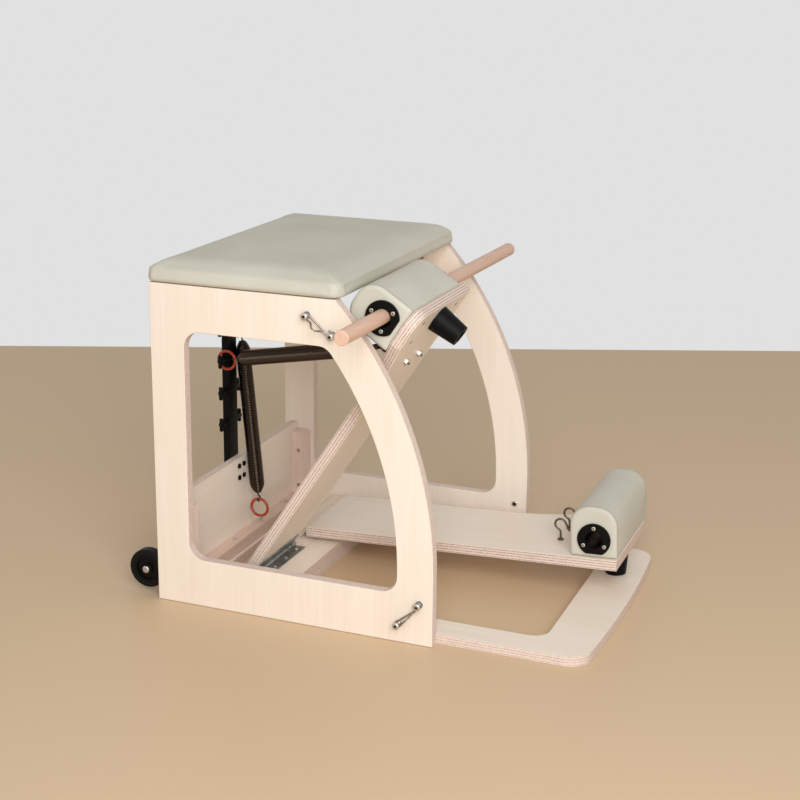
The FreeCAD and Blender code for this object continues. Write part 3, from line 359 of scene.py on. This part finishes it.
# The clip's route in millimetres: along the studs' line, up across it, and out past its level.
bail_route = ((50, -3.5, 3.3), (43, -2.6, 3.3), (37, -3.2, 4.0), (32, -3.6, 17.5), (22, -3.8, 17.5),
              (15.5, -4.2, 2.0), (7, -4.6, 0), (-4.9, -5.1, 0), (-4.9, 5.1, 0), (5, 3.9, 0), (28, 0, 0),
              (50, -3.4, 0), (61.4, -5.3, 0), (61.4, 5.1, 0), (52, 4.7, 0), (47, 4.5, 0))
bail_lines = ((-0.149, 0.5695, math.radians(-32.8)), (-0.3205, 0.0355, math.radians(47.3)))
for side, out in (("left", -1), ("right", 1)):
    clips, places = [], []
    for y, z, slope in bail_lines:
        outward = Vector((out, 0, 0))
        first = Vector((out * panel_outside, y, z))
        ahead = Vector((0, -math.cos(slope), math.sin(slope)))
        across = Vector((0, math.sin(slope), math.cos(slope)))
        level = first + outward * bail_level
        route = [level + (ahead * along + across * up + outward * away) * 0.001
                 for along, up, away in bail_route]
        clips.append(bent_wire(side + "_bail", route, bail_wire, "NURBS"))
        for foot in (first, first + ahead * bail_span):
            places.append((foot, outward, 0.5 + 3 * foot.z))
    bails = join(clips)
    bails.name = side + "_bail_wires"
    bails.data.materials.append(bail_steel)
    shank = turned_bar(0.003, stud_end, stud_head + 0.0005, 24)
    washer = turned_bar(0.007, 0.0, washer_top, 40, 0.0004)
    nut = turned_bar(0.006, stud_end, stud_nut_top, 6, 0.0005)
    for piece in (shank, washer, nut):
        piece.data.materials.append(zinc)
    stud = join([socket_head(0.0066, stud_head, stud_top), shank, washer, nut])
    studs = set_out(side + "_bail_stud_screws", stud, places)
    for piece, node in ((bails, "_bails"), (studs, "_bail_studs")):
        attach(piece, "frame")
        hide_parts(side + node)


# Spring post and pegs: a flat bar bolted to the back, and four cross rods through it with upright
# keeper bars welded on their ends. Powder-coated satin black; the bolts are blackened.
def black_coat(name, colour, roughness, grain_size, grain_depth):
    """Black coat or moulding with a fine raised grain of a real size and a weak shine."""
    material, tree, shader, place = new_material(name, colour, roughness)
    peel = noise(tree, place["Object"], grain_size)
    gloss = spread(tree, peel, 0.3, 0.7, roughness - 0.06, roughness + 0.06)
    tree.links.new(gloss, shader.inputs["Roughness"])
    raise_grain(tree, shader, peel, 0.25, grain_depth)
    shader.inputs["Specular IOR Level"].default_value = 0.12
    return material


satin_black = black_coat("satin black powder coat", "090908", 0.40, 0.002, 0.0004)
dress(satin_black, "spring_post")
peg_radius, peg_pitch, peg_disc = 0.006, 0.0635, 0.015
keeper, keeper_edge = Vector((0.006, 0.0075, 0.027)), 0.0026
low, high = [Vector(corner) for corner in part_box("spring_pegs")]
peg_pieces = []
for index in range(4):
    middle = Vector((0, (low.y + high.y) / 2, low.z + peg_disc + peg_pitch * index))
    ends = (low.x + keeper.x / 2, high.x - keeper.x / 2)
    peg = turned_bar(peg_radius, *ends)
    peg.data.transform(Matrix.Translation(middle) @ Matrix.Rotation(math.pi / 2, 4, "Y"))
    peg_pieces.append(peg)
    for end in ends:
        bar = plain_block(middle + Vector((end, 0, 0)), keeper)
        apply_modifier(bar, "BEVEL", width=keeper_edge, segments=4, limit_method="ANGLE",
                       angle_limit=sharp_angle)
        peg_pieces.append(bar)
pegs = join(peg_pieces)
pegs.name = "spring_peg_bars"
bpy.ops.object.shade_smooth_by_angle(angle=smooth_angle)
pegs.data.materials.append(satin_black)
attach(pegs, "frame")
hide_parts("spring_pegs")
dress(plated_steel("blackened bolt steel", "24211E", 0.40, 0.15, 0.005), "post_bolts")


# Hinges: folded steel leaves rolled round a pin, one leaf in the hinge board and one under each pedal.
# Hot-dip galvanised: dull grey with pale crystal patches, held by flat-headed screws.
def galvanised_steel(name):
    """Dull zinc-dipped steel with crystal patches about 9 mm across and fine rubbed scratches."""
    light, dark = "B4B5B3", "84857F"
    patch_size, scratch_size = 0.009, (0.05, 0.0011, 0.0011)
    material, tree, shader, place = new_material(name, light, 0.4)
    crystals = add_node(tree, "ShaderNodeTexVoronoi", {"Vector": place["Object"], "Scale": 1 / patch_size})
    shade = add_node(tree, "ShaderNodeSeparateColor", {0: crystals.outputs["Color"]}).outputs
    scale = [1 / size for size in scratch_size]
    stretch = add_node(tree, "ShaderNodeMapping", {"Vector": place["Object"], "Scale": scale}).outputs[0]
    scratch = spread(tree, noise(tree, stretch, 1.0, 3.0), 0.55, 0.75, 0.0, 0.5)
    tone = calculate(tree, "ADD", shade[0], scratch)
    tree.links.new(mix_colours(tree, tone, dark, light), shader.inputs["Base Color"])
    tree.links.new(spread(tree, shade[1], 0.0, 1.0, 0.32, 0.55), shader.inputs["Roughness"])
    shader.inputs["Metallic"].default_value = 1.0
    return material


galvanised = galvanised_steel("galvanised hinge steel")
for side in ("left", "right"):
    dress(galvanised, side + "_hinge_base_leaf", side + "_hinge_pedal_leaf", side + "_hinge_pin")
    dress(galvanised, side + "_wheel_bracket")
leaf_first, leaf_pitch, leaf_row = 0.050, 0.0475, -0.015
leaf_places = []
for sign in (-1, 1):
    for index in range(4):
        x = sign * (leaf_first + leaf_pitch * index)
        leaf_places.append(((x, leaf_row, hinge_board_top), upright, 0.3 + index))
leaf_screws = set_out("hinge_leaf_screws", screw_head(0.0042, 0.0, 0.0010), leaf_places)
leaf_screws.data.materials.append(zinc)
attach(leaf_screws, "frame")


# Transport wheels: black rubber tyres on moulded hubs, each on a bolt through a bent bracket.
# The rubber is matt and slightly dusty; the hub is smoother with a moulded grain.
dress(black_coat("wheel tyre rubber", "141413", 0.50, 0.0016, 0.0005), "left_wheel_tyre", "right_wheel_tyre")
dress(black_coat("wheel hub moulding", "0E0E0D", 0.34, 0.0012, 0.0003), "left_wheel_hub", "right_wheel_hub")
dress(zinc, "left_wheel_axle", "right_wheel_axle")


# Seat cushion: a slab of foam in sage vinyl, pulled over the seat board and stapled underneath.
# Rolled edges, rounded corners and a low crown.
def sage_vinyl(name, seams):
    """Matt upholstery vinyl: embossed pebble grain, drawn at 2.4 mm so that it shows, and sewn seams."""
    light, dark, thread = "CDCABC", "C4C1B1", "77735F"
    pebble_size, shade_size, seam_half = 0.0024, 0.14, 0.0006
    material, tree, shader, place = new_material(name, light, 0.5)
    grain = {"Vector": place["Object"], "Scale": 1 / pebble_size, "Smoothness": 0.6}
    pebbles = add_node(tree, "ShaderNodeTexVoronoi", grain, feature="SMOOTH_F1").outputs["Distance"]
    shade = spread(tree, noise(tree, place["Object"], shade_size), 0.3, 0.7)
    colour = mix_colours(tree, shade, dark, light)
    across = calculate(tree, "ABSOLUTE", reach_along(tree, place["Object"], (1, 0, 0)))
    for seam in seams:
        away = calculate(tree, "ABSOLUTE", calculate(tree, "SUBTRACT", across, seam))
        colour = mix_colours(tree, spread(tree, away, seam_half, 2 * seam_half, 0.7, 0.0), colour, thread)
    tree.links.new(colour, shader.inputs["Base Color"])
    tree.links.new(spread(tree, pebbles, 0.0, 0.6, 0.46, 0.58), shader.inputs["Roughness"])
    raise_grain(tree, shader, pebbles, 0.10, -0.0004)
    shader.inputs["Specular IOR Level"].default_value = 0.35
    return material


def bevel_where(obj, wanted, width, segments):
    """Bevels the edges whose two ends pass a test."""
    activate(obj)
    bpy.ops.object.mode_set(mode="EDIT")
    bpy.ops.mesh.select_mode(type="EDGE")
    bpy.ops.mesh.select_all(action="DESELECT")
    bpy.ops.object.mode_set(mode="OBJECT")
    for edge in obj.data.edges:
        edge.select = bool(wanted(*[obj.data.vertices[index].co for index in edge.vertices]))
    bpy.ops.object.mode_set(mode="EDIT")
    bpy.ops.mesh.bevel(offset=width, segments=segments, affect="EDGES")
    bpy.ops.object.mode_set(mode="OBJECT")


def stuff(obj, voxel, pressure, cap, held_where):
    """Swells a closed cover by a short cloth run; held points stay, and none moves further than the cap."""
    last_step = 20
    apply_modifier(obj, "REMESH", mode="VOXEL", voxel_size=voxel)
    start = [vertex.co.copy() for vertex in obj.data.vertices]
    held = obj.vertex_groups.new(name="held")
    held.add([index for index, place in enumerate(start) if held_where(place)], 1.0, "REPLACE")
    cloth = obj.modifiers.new("Cloth", "CLOTH")
    cloth.settings.use_pressure = True
    cloth.settings.uniform_pressure_force = pressure
    cloth.settings.vertex_group_mass = "held"
    cloth.settings.effector_weights.gravity = 0.0
    cloth.settings.quality = 6
    cloth.collision_settings.use_collision = False
    cloth.point_cache.frame_end = last_step
    for step in range(1, last_step + 1):
        bpy.context.scene.frame_set(step)
    activate(obj)
    bpy.ops.object.modifier_apply(modifier=cloth.name)
    for vertex, place in zip(obj.data.vertices, start):
        move = vertex.co - place
        if move.length > cap:
            vertex.co = place + move * (cap / move.length)
    obj.vertex_groups.clear()
    apply_modifier(obj, "SMOOTH", factor=0.5, iterations=2)
    apply_modifier(obj, "SUBSURF", levels=1, render_levels=1)
    bpy.ops.object.shade_smooth()


def fill_box(obj, low, high):
    """Stretches a cover so that it just fills a box."""
    places = [vertex.co for vertex in obj.data.vertices]
    for axis in range(3):
        least = min(place[axis] for place in places)
        most = max(place[axis] for place in places)
        stretch = (high[axis] - low[axis]) / (most - least)
        for vertex in obj.data.vertices:
            vertex.co[axis] = low[axis] + (vertex.co[axis] - least) * stretch


def crown(obj, low, high, corner, fall, reach):
    """Lowers the top towards its sides, by a fall that fades out within a reach."""
    middle = (low + high) / 2
    for vertex in obj.data.vertices:
        if vertex.co.z > middle.z:
            past = [abs(vertex.co[axis] - middle[axis]) + corner + middle[axis] - high[axis]
                    for axis in (0, 1)]
            beyond = math.hypot(max(past[0], 0), max(past[1], 0)) + min(max(past), 0)
            share = max(0.0, 1 - max(0.0, corner - beyond) / reach)
            above = (vertex.co.z - middle.z) / (high.z - middle.z)
            vertex.co.z -= fall * share * share * above


seat_corner, seat_roll, seat_tuck = 0.023, 0.012, 0.005
seat_fall, seat_crown = 0.016, 0.062
seat_over, seat_sink = Vector((0.006, 0.007, 0)), Vector((0, 0, 0.002))
low, high = [Vector(corner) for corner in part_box("seat_cushion")]
seat = plain_block((low + high) / 2, high - low)
seat.name = "seat_cushion_cover"
seat_foot, seat_middle = low.z, (low.z + high.z) / 2
bevel_where(seat, lambda a, b: abs(a.z - b.z) > seat_roll, seat_corner, 8)
bevel_where(seat, lambda a, b: min(a.z, b.z) > seat_middle, seat_roll, 5)
bevel_where(seat, lambda a, b: max(a.z, b.z) < seat_foot + 0.001, seat_tuck, 2)
stuff(seat, 0.005, 3.0, 0.004, lambda place: place.z < seat_foot + 0.008)
fill_box(seat, low - seat_over - seat_sink, high + seat_over)
crown(seat, low - seat_over, high + seat_over, seat_corner, seat_fall, seat_crown)
seat.data.materials.append(sage_vinyl("sage seat vinyl", ()))
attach(seat, "frame")
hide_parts("seat_cushion")


# Pedal boards: plywood like the frame's, each hinged at the floor and flared to a wide head.
# The left one stands raised and the right one lies lowered, so their plies stack along tilted lines.
hinge_height, board_foot = 0.040, 0.0045
pedal_angles = {"left": math.radians(56.898), "right": math.radians(2.55)}


def turn_to_rest(obj, angle):
    """Turns a piece modelled level on the hinge line to its pedal's place at rest."""
    obj.data.transform(Matrix.Translation((0, 0, hinge_height)) @ Matrix.Rotation(-angle, 4, "X"))


for side, angle in pedal_angles.items():
    stack = Vector((0, math.sin(angle), math.cos(angle)))
    ahead = (0, -math.cos(angle), math.sin(angle))
    underside = hinge_height * math.cos(angle) + board_foot
    dress(birch_plywood(side + " pedal birch ply", stack, ahead, underside, 0.9), side + "_pedal_board")


# Pedal hardware: steel hooks with nuts, browned screws, moulded end flanges on a tube, rubber bumpers.
# The flanges are black nylon, the tube is drawn steel and the bumpers are solid moulded rubber.
flange_black = black_coat("flange nylon moulding", "0A0A09", 0.38, 0.0012, 0.0003)
tube_steel = plated_steel("drawn steel tube", "8C8078", 0.20, 0.08, 0.010)
bumper_black = black_coat("bumper rubber moulding", "080807", 0.50, 0.0018, 0.0005)
# The hooks' colour is dull steel darkened further as painted shade.
hook_steel_painted_shade = plated_steel("dull hook steel with painted shade", "6E6455", 0.30, 0.15, 0.005)
dark_screw = plated_steel("browned screw steel", "35302A", 0.35, 0.15, 0.004)


def pedal_hooks(side, angle, stem):
    """Two question-mark wire hooks with collars, modelled level on the hinge line and turned to rest."""
    wire, bend, curl, tip = 0.0021, 0.007, 0.0105, 0.018
    station, foot, board_top = 0.508, -0.0045, 0.0245
    hook_places, collar_radius, collar_height = (0.082, 0.145), 0.006, 0.003
    lean, opening = math.acos(bend / (bend + curl)), math.radians(154.5)
    centre = board_top + stem + (bend + curl) * math.sin(lean)
    route = [(0, foot), (0, board_top + stem)]
    for step in range(1, 9):
        turn = lean * step / 8
        route.append((bend - bend * math.cos(turn), board_top + stem + bend * math.sin(turn)))
    for step in range(1, 37):
        turn = (lean + opening) * step / 36 - lean
        route.append((curl * math.cos(turn), centre + curl * math.sin(turn)))
    back, level = route[-1]
    route.append((back - tip * math.sin(opening), level + tip * math.cos(opening)))
    pieces = []
    for x in hook_places:
        place = Vector((-x if side == "left" else x, -station, 0))
        pieces.append(bent_wire(side + "_hook", [place + Vector((0, y, z)) for y, z in route], wire))
        collar = turned_bar(collar_radius, board_top, board_top + collar_height, 24, 0.0006)
        collar.data.transform(Matrix.Translation(place))
        pieces.append(collar)
    hooks = join(pieces)
    hooks.name = side + "_hook_wires"
    turn_to_rest(hooks, angle)
    hooks.data.materials.append(hook_steel_painted_shade)
    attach(hooks, side + "_pedal")
    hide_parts(side + "_pedal_hooks")


hook_stems = {"left": 0.0079, "right": 0.0150}
bore_place, bore_level, flange_ring = 0.592, 0.0605, 0.0225
flange_faces = ((0.004, -1), (0.256, 1))
for side, angle in pedal_angles.items():
    pedal_hooks(side, angle, hook_stems[side])
    dress(zinc, side + "_hook_nuts", side + "_bumper_screw")
    dress(dark_screw, side + "_pad_screws")
    dress(flange_black, side + "_pad_flanges")
    dress(tube_steel, side + "_pad_tube")
    dress(bumper_black, side + "_bumper")
    sign = -1 if side == "left" else 1
    places = []
    for x, out in flange_faces:
        for index in range(3):
            around = math.radians(90 + 120 * index)
            y, z = flange_ring * math.cos(around) - bore_place, flange_ring * math.sin(around) + bore_level
            places.append(((sign * x, y, z), (sign * out, 0, 0), 0.6 + 1.1 * index))
    screws = set_out(side + "_flange_screw_heads", socket_head(0.0038, 0.0, 0.0014), places)
    turn_to_rest(screws, angle)
    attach(screws, side + "_pedal")
    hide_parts(side + "_flange_screws")


# Pedal pads: foam blocks in the same vinyl, screwed on the heads from below.
# Flat foot, straight sides and a round top, sewn to flat end pieces, with a hole along them for the tube.
def pedal_pad(side, angle):
    """One pad: modelled level on the hinge line, stuffed, holed for the tube and turned to rest."""
    back, front, inner, outer = 0.5455, 0.6345, 0.008, 0.252
    foot, top, bore_room = 0.0246, 0.1213, 0.0190
    shoulder, seam, seam_reach = 0.037, 0.006, 0.005
    sign = -1 if side == "left" else 1
    middle = sign * (inner + outer) / 2
    half = (outer - inner) / 2
    low, high = Vector((middle - half, -front, foot)), Vector((middle + half, -back, top))
    pad = plain_block((low + high) / 2, high - low)
    pad.name = side + "_pedal_pad_cover"
    bevel_where(pad, lambda a, b: min(a.z, b.z) > foot + shoulder and abs(a.x - b.x) > half, shoulder, 12)
    bevel_where(pad, lambda a, b: abs(a.x - b.x) < seam, seam, 2)

    def is_held(place):
        return place.z < foot + seam_reach or half - abs(place.x - middle) < seam_reach

    stuff(pad, 0.003, 7.0, 0.006, is_held)
    swell = Vector((0, 0.0035, 0.0025))
    fill_box(pad, low - Vector((0, swell.y, 0)), high + swell)
    drill = turned_bar(bore_room, -2 * half, 2 * half, 48)
    along = Matrix.Rotation(math.pi / 2, 4, "Y")
    drill.data.transform(Matrix.Translation((middle, -bore_place, bore_level)) @ along)
    cut_away(pad, drill)
    turn_to_rest(pad, angle)
    pad.data.materials.append(pad_vinyl)
    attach(pad, side + "_pedal")
    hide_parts(side + "_pedal_pad")


pad_vinyl = sage_vinyl("sage pad vinyl", (0.0145, 0.2455))
for side, angle in pedal_angles.items():
    pedal_pad(side, angle)


# Dowel: a turned beech rod pushed through the left pad's tube.
# Sanded, with short darker flecks along the grain.
dress(solid_wood("beech rod", "E0BEA8", "CB9F84", (1, 0, 0), 0.003, 0.05, 0.45), "dowel")


# Springs: dark oil-tempered wire wound close, coned down at both ends to a hooked eye.
# Their rings are dipped in orange-red plastic; the one in the raised pedal's hook is given the dark wire
# colour as painted shade.
def coil_spring(name, start, end, start_side, end_side, start_crossing, end_crossing):
    """Winds a close coil with coned ends and an eye at each end, between the middles of two rings' wires."""
    wire, coil, cone_end, eye, neck, stem = 0.0016, 0.0134, 0.0042, 0.0056, 0.0045, 0.003
    pitch, per_turn, cone_turns, opening = 0.0034, 26, 6.5, math.radians(275)
    first_share, first_turns, room = 0.1, 0.6, 0.0003
    apart = wire + ring_wire + room
    rise = math.sqrt((neck + eye) ** 2 - neck ** 2)
    bend = math.acos(neck / (neck + eye))

    def reach(crossing):
        inward = ring_mean * math.cos(crossing)
        grip = inward - math.sqrt(inward ** 2 - 2 * ring_mean * apart + apart ** 2)
        return stem + rise + eye - grip

    def across_axis(side, out):
        return (side - out * side.dot(out)).normalized()

    def eye_points(root, out, side):
        points = [root, root + out * stem]
        for step in range(1, 7):
            turn = bend * step / 6
            shift = neck - neck * math.cos(turn)
            points.append(root + out * (stem + neck * math.sin(turn)) + side * shift)
        middle = root + out * (stem + rise)
        for step in range(1, 31):
            turn = math.pi + bend - opening * step / 30
            points.append(middle - side * (eye * math.cos(turn)) + out * (eye * math.sin(turn)))
        return points

    axis = (end - start).normalized()
    first = start + axis * reach(start_crossing)
    last = end - axis * reach(end_crossing)
    length = (last - first).length
    turns = round(length / pitch)
    side = across_axis(start_side, axis)
    across = axis.cross(side)
    path = list(reversed(eye_points(first, -axis, side)))
    for step in range(1, turns * per_turn):
        turned = step / per_turn
        from_end = min(turned, turns - turned)
        cone = math.sin(min(from_end / cone_turns, 1.0) * math.pi / 2)
        from_axis = min(1.0, first_share + from_end / first_turns)
        radius = (cone_end + (coil - cone_end) * cone) * from_axis
        angle = 2 * math.pi * turned
        around = side * (radius * math.cos(angle)) + across * (radius * math.sin(angle))
        path.append(first + axis * (length * turned / turns) + around)
    path += eye_points(last, axis, across_axis(end_side, axis))
    spring = bent_wire(name, path, wire)
    spring.data.materials.append(spring_black)
    return spring


def spring_ring(name, centre, normal):
    """One dipped ring about a centre."""
    turn = Vector((0, 0, 1)).rotation_difference(Vector(normal)).to_matrix().to_4x4()
    bpy.ops.object.select_all(action="DESELECT")
    bpy.ops.mesh.primitive_torus_add(major_segments=72, minor_segments=20, major_radius=ring_mean,
                                     minor_radius=ring_wire)
    ring = bpy.context.object
    ring.name = name
    ring.data.transform(Matrix.Translation(centre) @ turn)
    bpy.ops.object.shade_smooth()
    ring.data.materials.append(dipped_red)
    return ring


ring_mean, ring_wire = 0.01775, 0.00275
ring_outer = ring_mean + ring_wire
spring_black = plated_steel("oil-tempered spring wire", "4E433A", 0.12, 0.10, 0.004)
dipped_red, tree, shader, place = new_material("dipped orange-red plastic", "BC4830", 0.35)
runs = spread(tree, noise(tree, place["Object"], 0.007, 3.0), 0.35, 0.7)
tree.links.new(mix_colours(tree, runs, "BC4830", "96331F"), shader.inputs["Base Color"])
raise_grain(tree, shader, runs, 0.2, 0.0003)

x_axis = Vector((1, 0, 0))
rear_centre = sum((Vector(corner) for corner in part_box("left_spring_rear_ring")), Vector()) / 2
front_centre = sum((Vector(corner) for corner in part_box("left_spring_front_ring")), Vector()) / 2
pull = Vector((0, front_centre.y - rear_centre.y, front_centre.z - rear_centre.z)).normalized()
rear_ring = spring_ring("left_spring_rear_ring_dipped", rear_centre, x_axis)
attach(rear_ring, "left_spring_rear")
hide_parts("left_spring_rear_ring")
front_ring = spring_ring("left_spring_front_ring_painted_shade", front_centre, pull.cross(x_axis))
# This ring takes the dark spring-wire colour in place of the dipped red: painted shade where it hangs.
front_ring.data.materials[0] = spring_black
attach(front_ring, "left_hook_ring")
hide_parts("left_spring_front_ring")
hook_start = rear_centre + pull * ring_mean
hook_end = front_centre - pull * ring_mean
left_spring = coil_spring("left_spring_winding", hook_start, hook_end, x_axis, pull.cross(x_axis),
                          0.0, pull.angle(hook_end - hook_start))
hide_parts("left_spring_coil")
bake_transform(left_spring)

ring_tilt = math.radians(40)
low, high = [Vector(corner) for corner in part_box("right_spring_rings")]
top_centre = Vector((low.x + ring_wire, high.y - ring_outer, high.z - ring_outer))
low_centre = Vector((low.x + ring_wire, low.y + ring_outer, low.z + ring_outer))
top_rim = top_centre + Vector((0, -math.sin(ring_tilt), -math.cos(ring_tilt))) * ring_mean
fall = (low_centre - top_rim).normalized()
lean = math.atan2(-fall.y, -fall.z)
low_rim = low_centre - fall * ring_mean
top_ring = spring_ring("right_spring_top_ring_dipped", top_centre, x_axis)
low_ring = spring_ring("right_spring_low_ring_dipped", low_centre, x_axis)
right_spring = coil_spring("right_spring_winding", top_rim, low_rim, x_axis, x_axis, ring_tilt - lean, 0.0)
for piece in (top_ring, low_ring, right_spring):
    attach(piece, "right_spring")
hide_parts("right_spring_rings")
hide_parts("right_spring_coil")


# Floor: one plain pale sheet under the object that ends where a wall would start.
# Light: a broad soft key from the camera's side, a weak low fill under it and an even pale room.
view_heading = math.radians(-67.69)
floor_near, floor_far, floor_width, floor_drop = -3.6, 1.66, 16.0, 0.0005
bpy.ops.object.select_all(action="DESELECT")
bpy.ops.mesh.primitive_plane_add(size=1)
floor = bpy.context.object
floor.name = "floor"
floor.data.transform(Matrix.Rotation(view_heading, 4, "Z")
                     @ Matrix.Translation((0, (floor_near + floor_far) / 2, -floor_drop))
                     @ Matrix.Diagonal((floor_width, floor_far - floor_near, 1, 1)))
floor.data.materials.append(new_material("plain pale floor", "D3B895", 0.5)[0])

world = bpy.data.worlds.new("pale room")
bpy.context.scene.world = world
world.use_nodes = True
tree = world.node_tree
room = tree.nodes["Background"]
room.inputs["Color"].default_value = linear("F5F1EA")
room.inputs["Strength"].default_value = 0.52
seen = add_node(tree, "ShaderNodeBackground", {"Color": linear("E1E1E1"), "Strength": 1.0})
path = add_node(tree, "ShaderNodeLightPath", {}).outputs
direct = calculate(tree, "MAXIMUM", path["Is Camera Ray"], path["Is Glossy Ray"])
direct = calculate(tree, "MAXIMUM", direct, path["Is Transmission Ray"])
mixed = add_node(tree, "ShaderNodeMixShader", {0: direct, 1: room.outputs[0], 2: seen.outputs[0]})
tree.links.new(mixed.outputs[0], tree.nodes["World Output"].inputs["Surface"])

lamp_target = Vector((0, -0.2, 0.35))
lamps = (("key", Vector((-2.7, -1.7, 1.95)), 2.4, 82), ("fill", Vector((-2.6, -1.4, 0.75)), 1.2, 10))
for name, place, size, power in lamps:
    lamp = bpy.data.lights.new(name, "AREA")
    lamp.shape = "DISK"
    lamp.size = size
    lamp.energy = power
    lamp.color = (0.98, 1.0, 1.06)
    holder = bpy.data.objects.new(name, lamp)
    holder.location = place
    holder.rotation_euler = (lamp_target - place).to_track_quat("-Z", "Y").to_euler()
    bpy.context.collection.objects.link(holder)


# Camera: at the photograph's place, angle and lens, with the frame shifted as it was cropped.
view = bpy.data.cameras.new("photo view")
view.sensor_width = 36.0
view.lens = 70.3
view.shift_x = 0.0369
view.shift_y = -0.0100
view.clip_end = 50.0
camera = bpy.data.objects.new("photo view", view)
bpy.context.collection.objects.link(camera)
stand = Vector((-2.6183, -1.2221, 1.1768))
ahead = Vector((0.8888, 0.3646, -0.2777)).normalized()
right = ahead.cross(Vector((0, 0, 1))).normalized()
up = right.cross(ahead)
roll = math.radians(0.38)
right, up = right * math.cos(roll) + up * math.sin(roll), up * math.cos(roll) - right * math.sin(roll)
turned = Matrix((right, up, -ahead)).transposed().to_4x4()
camera.matrix_world = Matrix.Translation(stand) @ turned
bpy.context.scene.camera = camera
bpy.context.scene.view_settings.view_transform = "Standard"
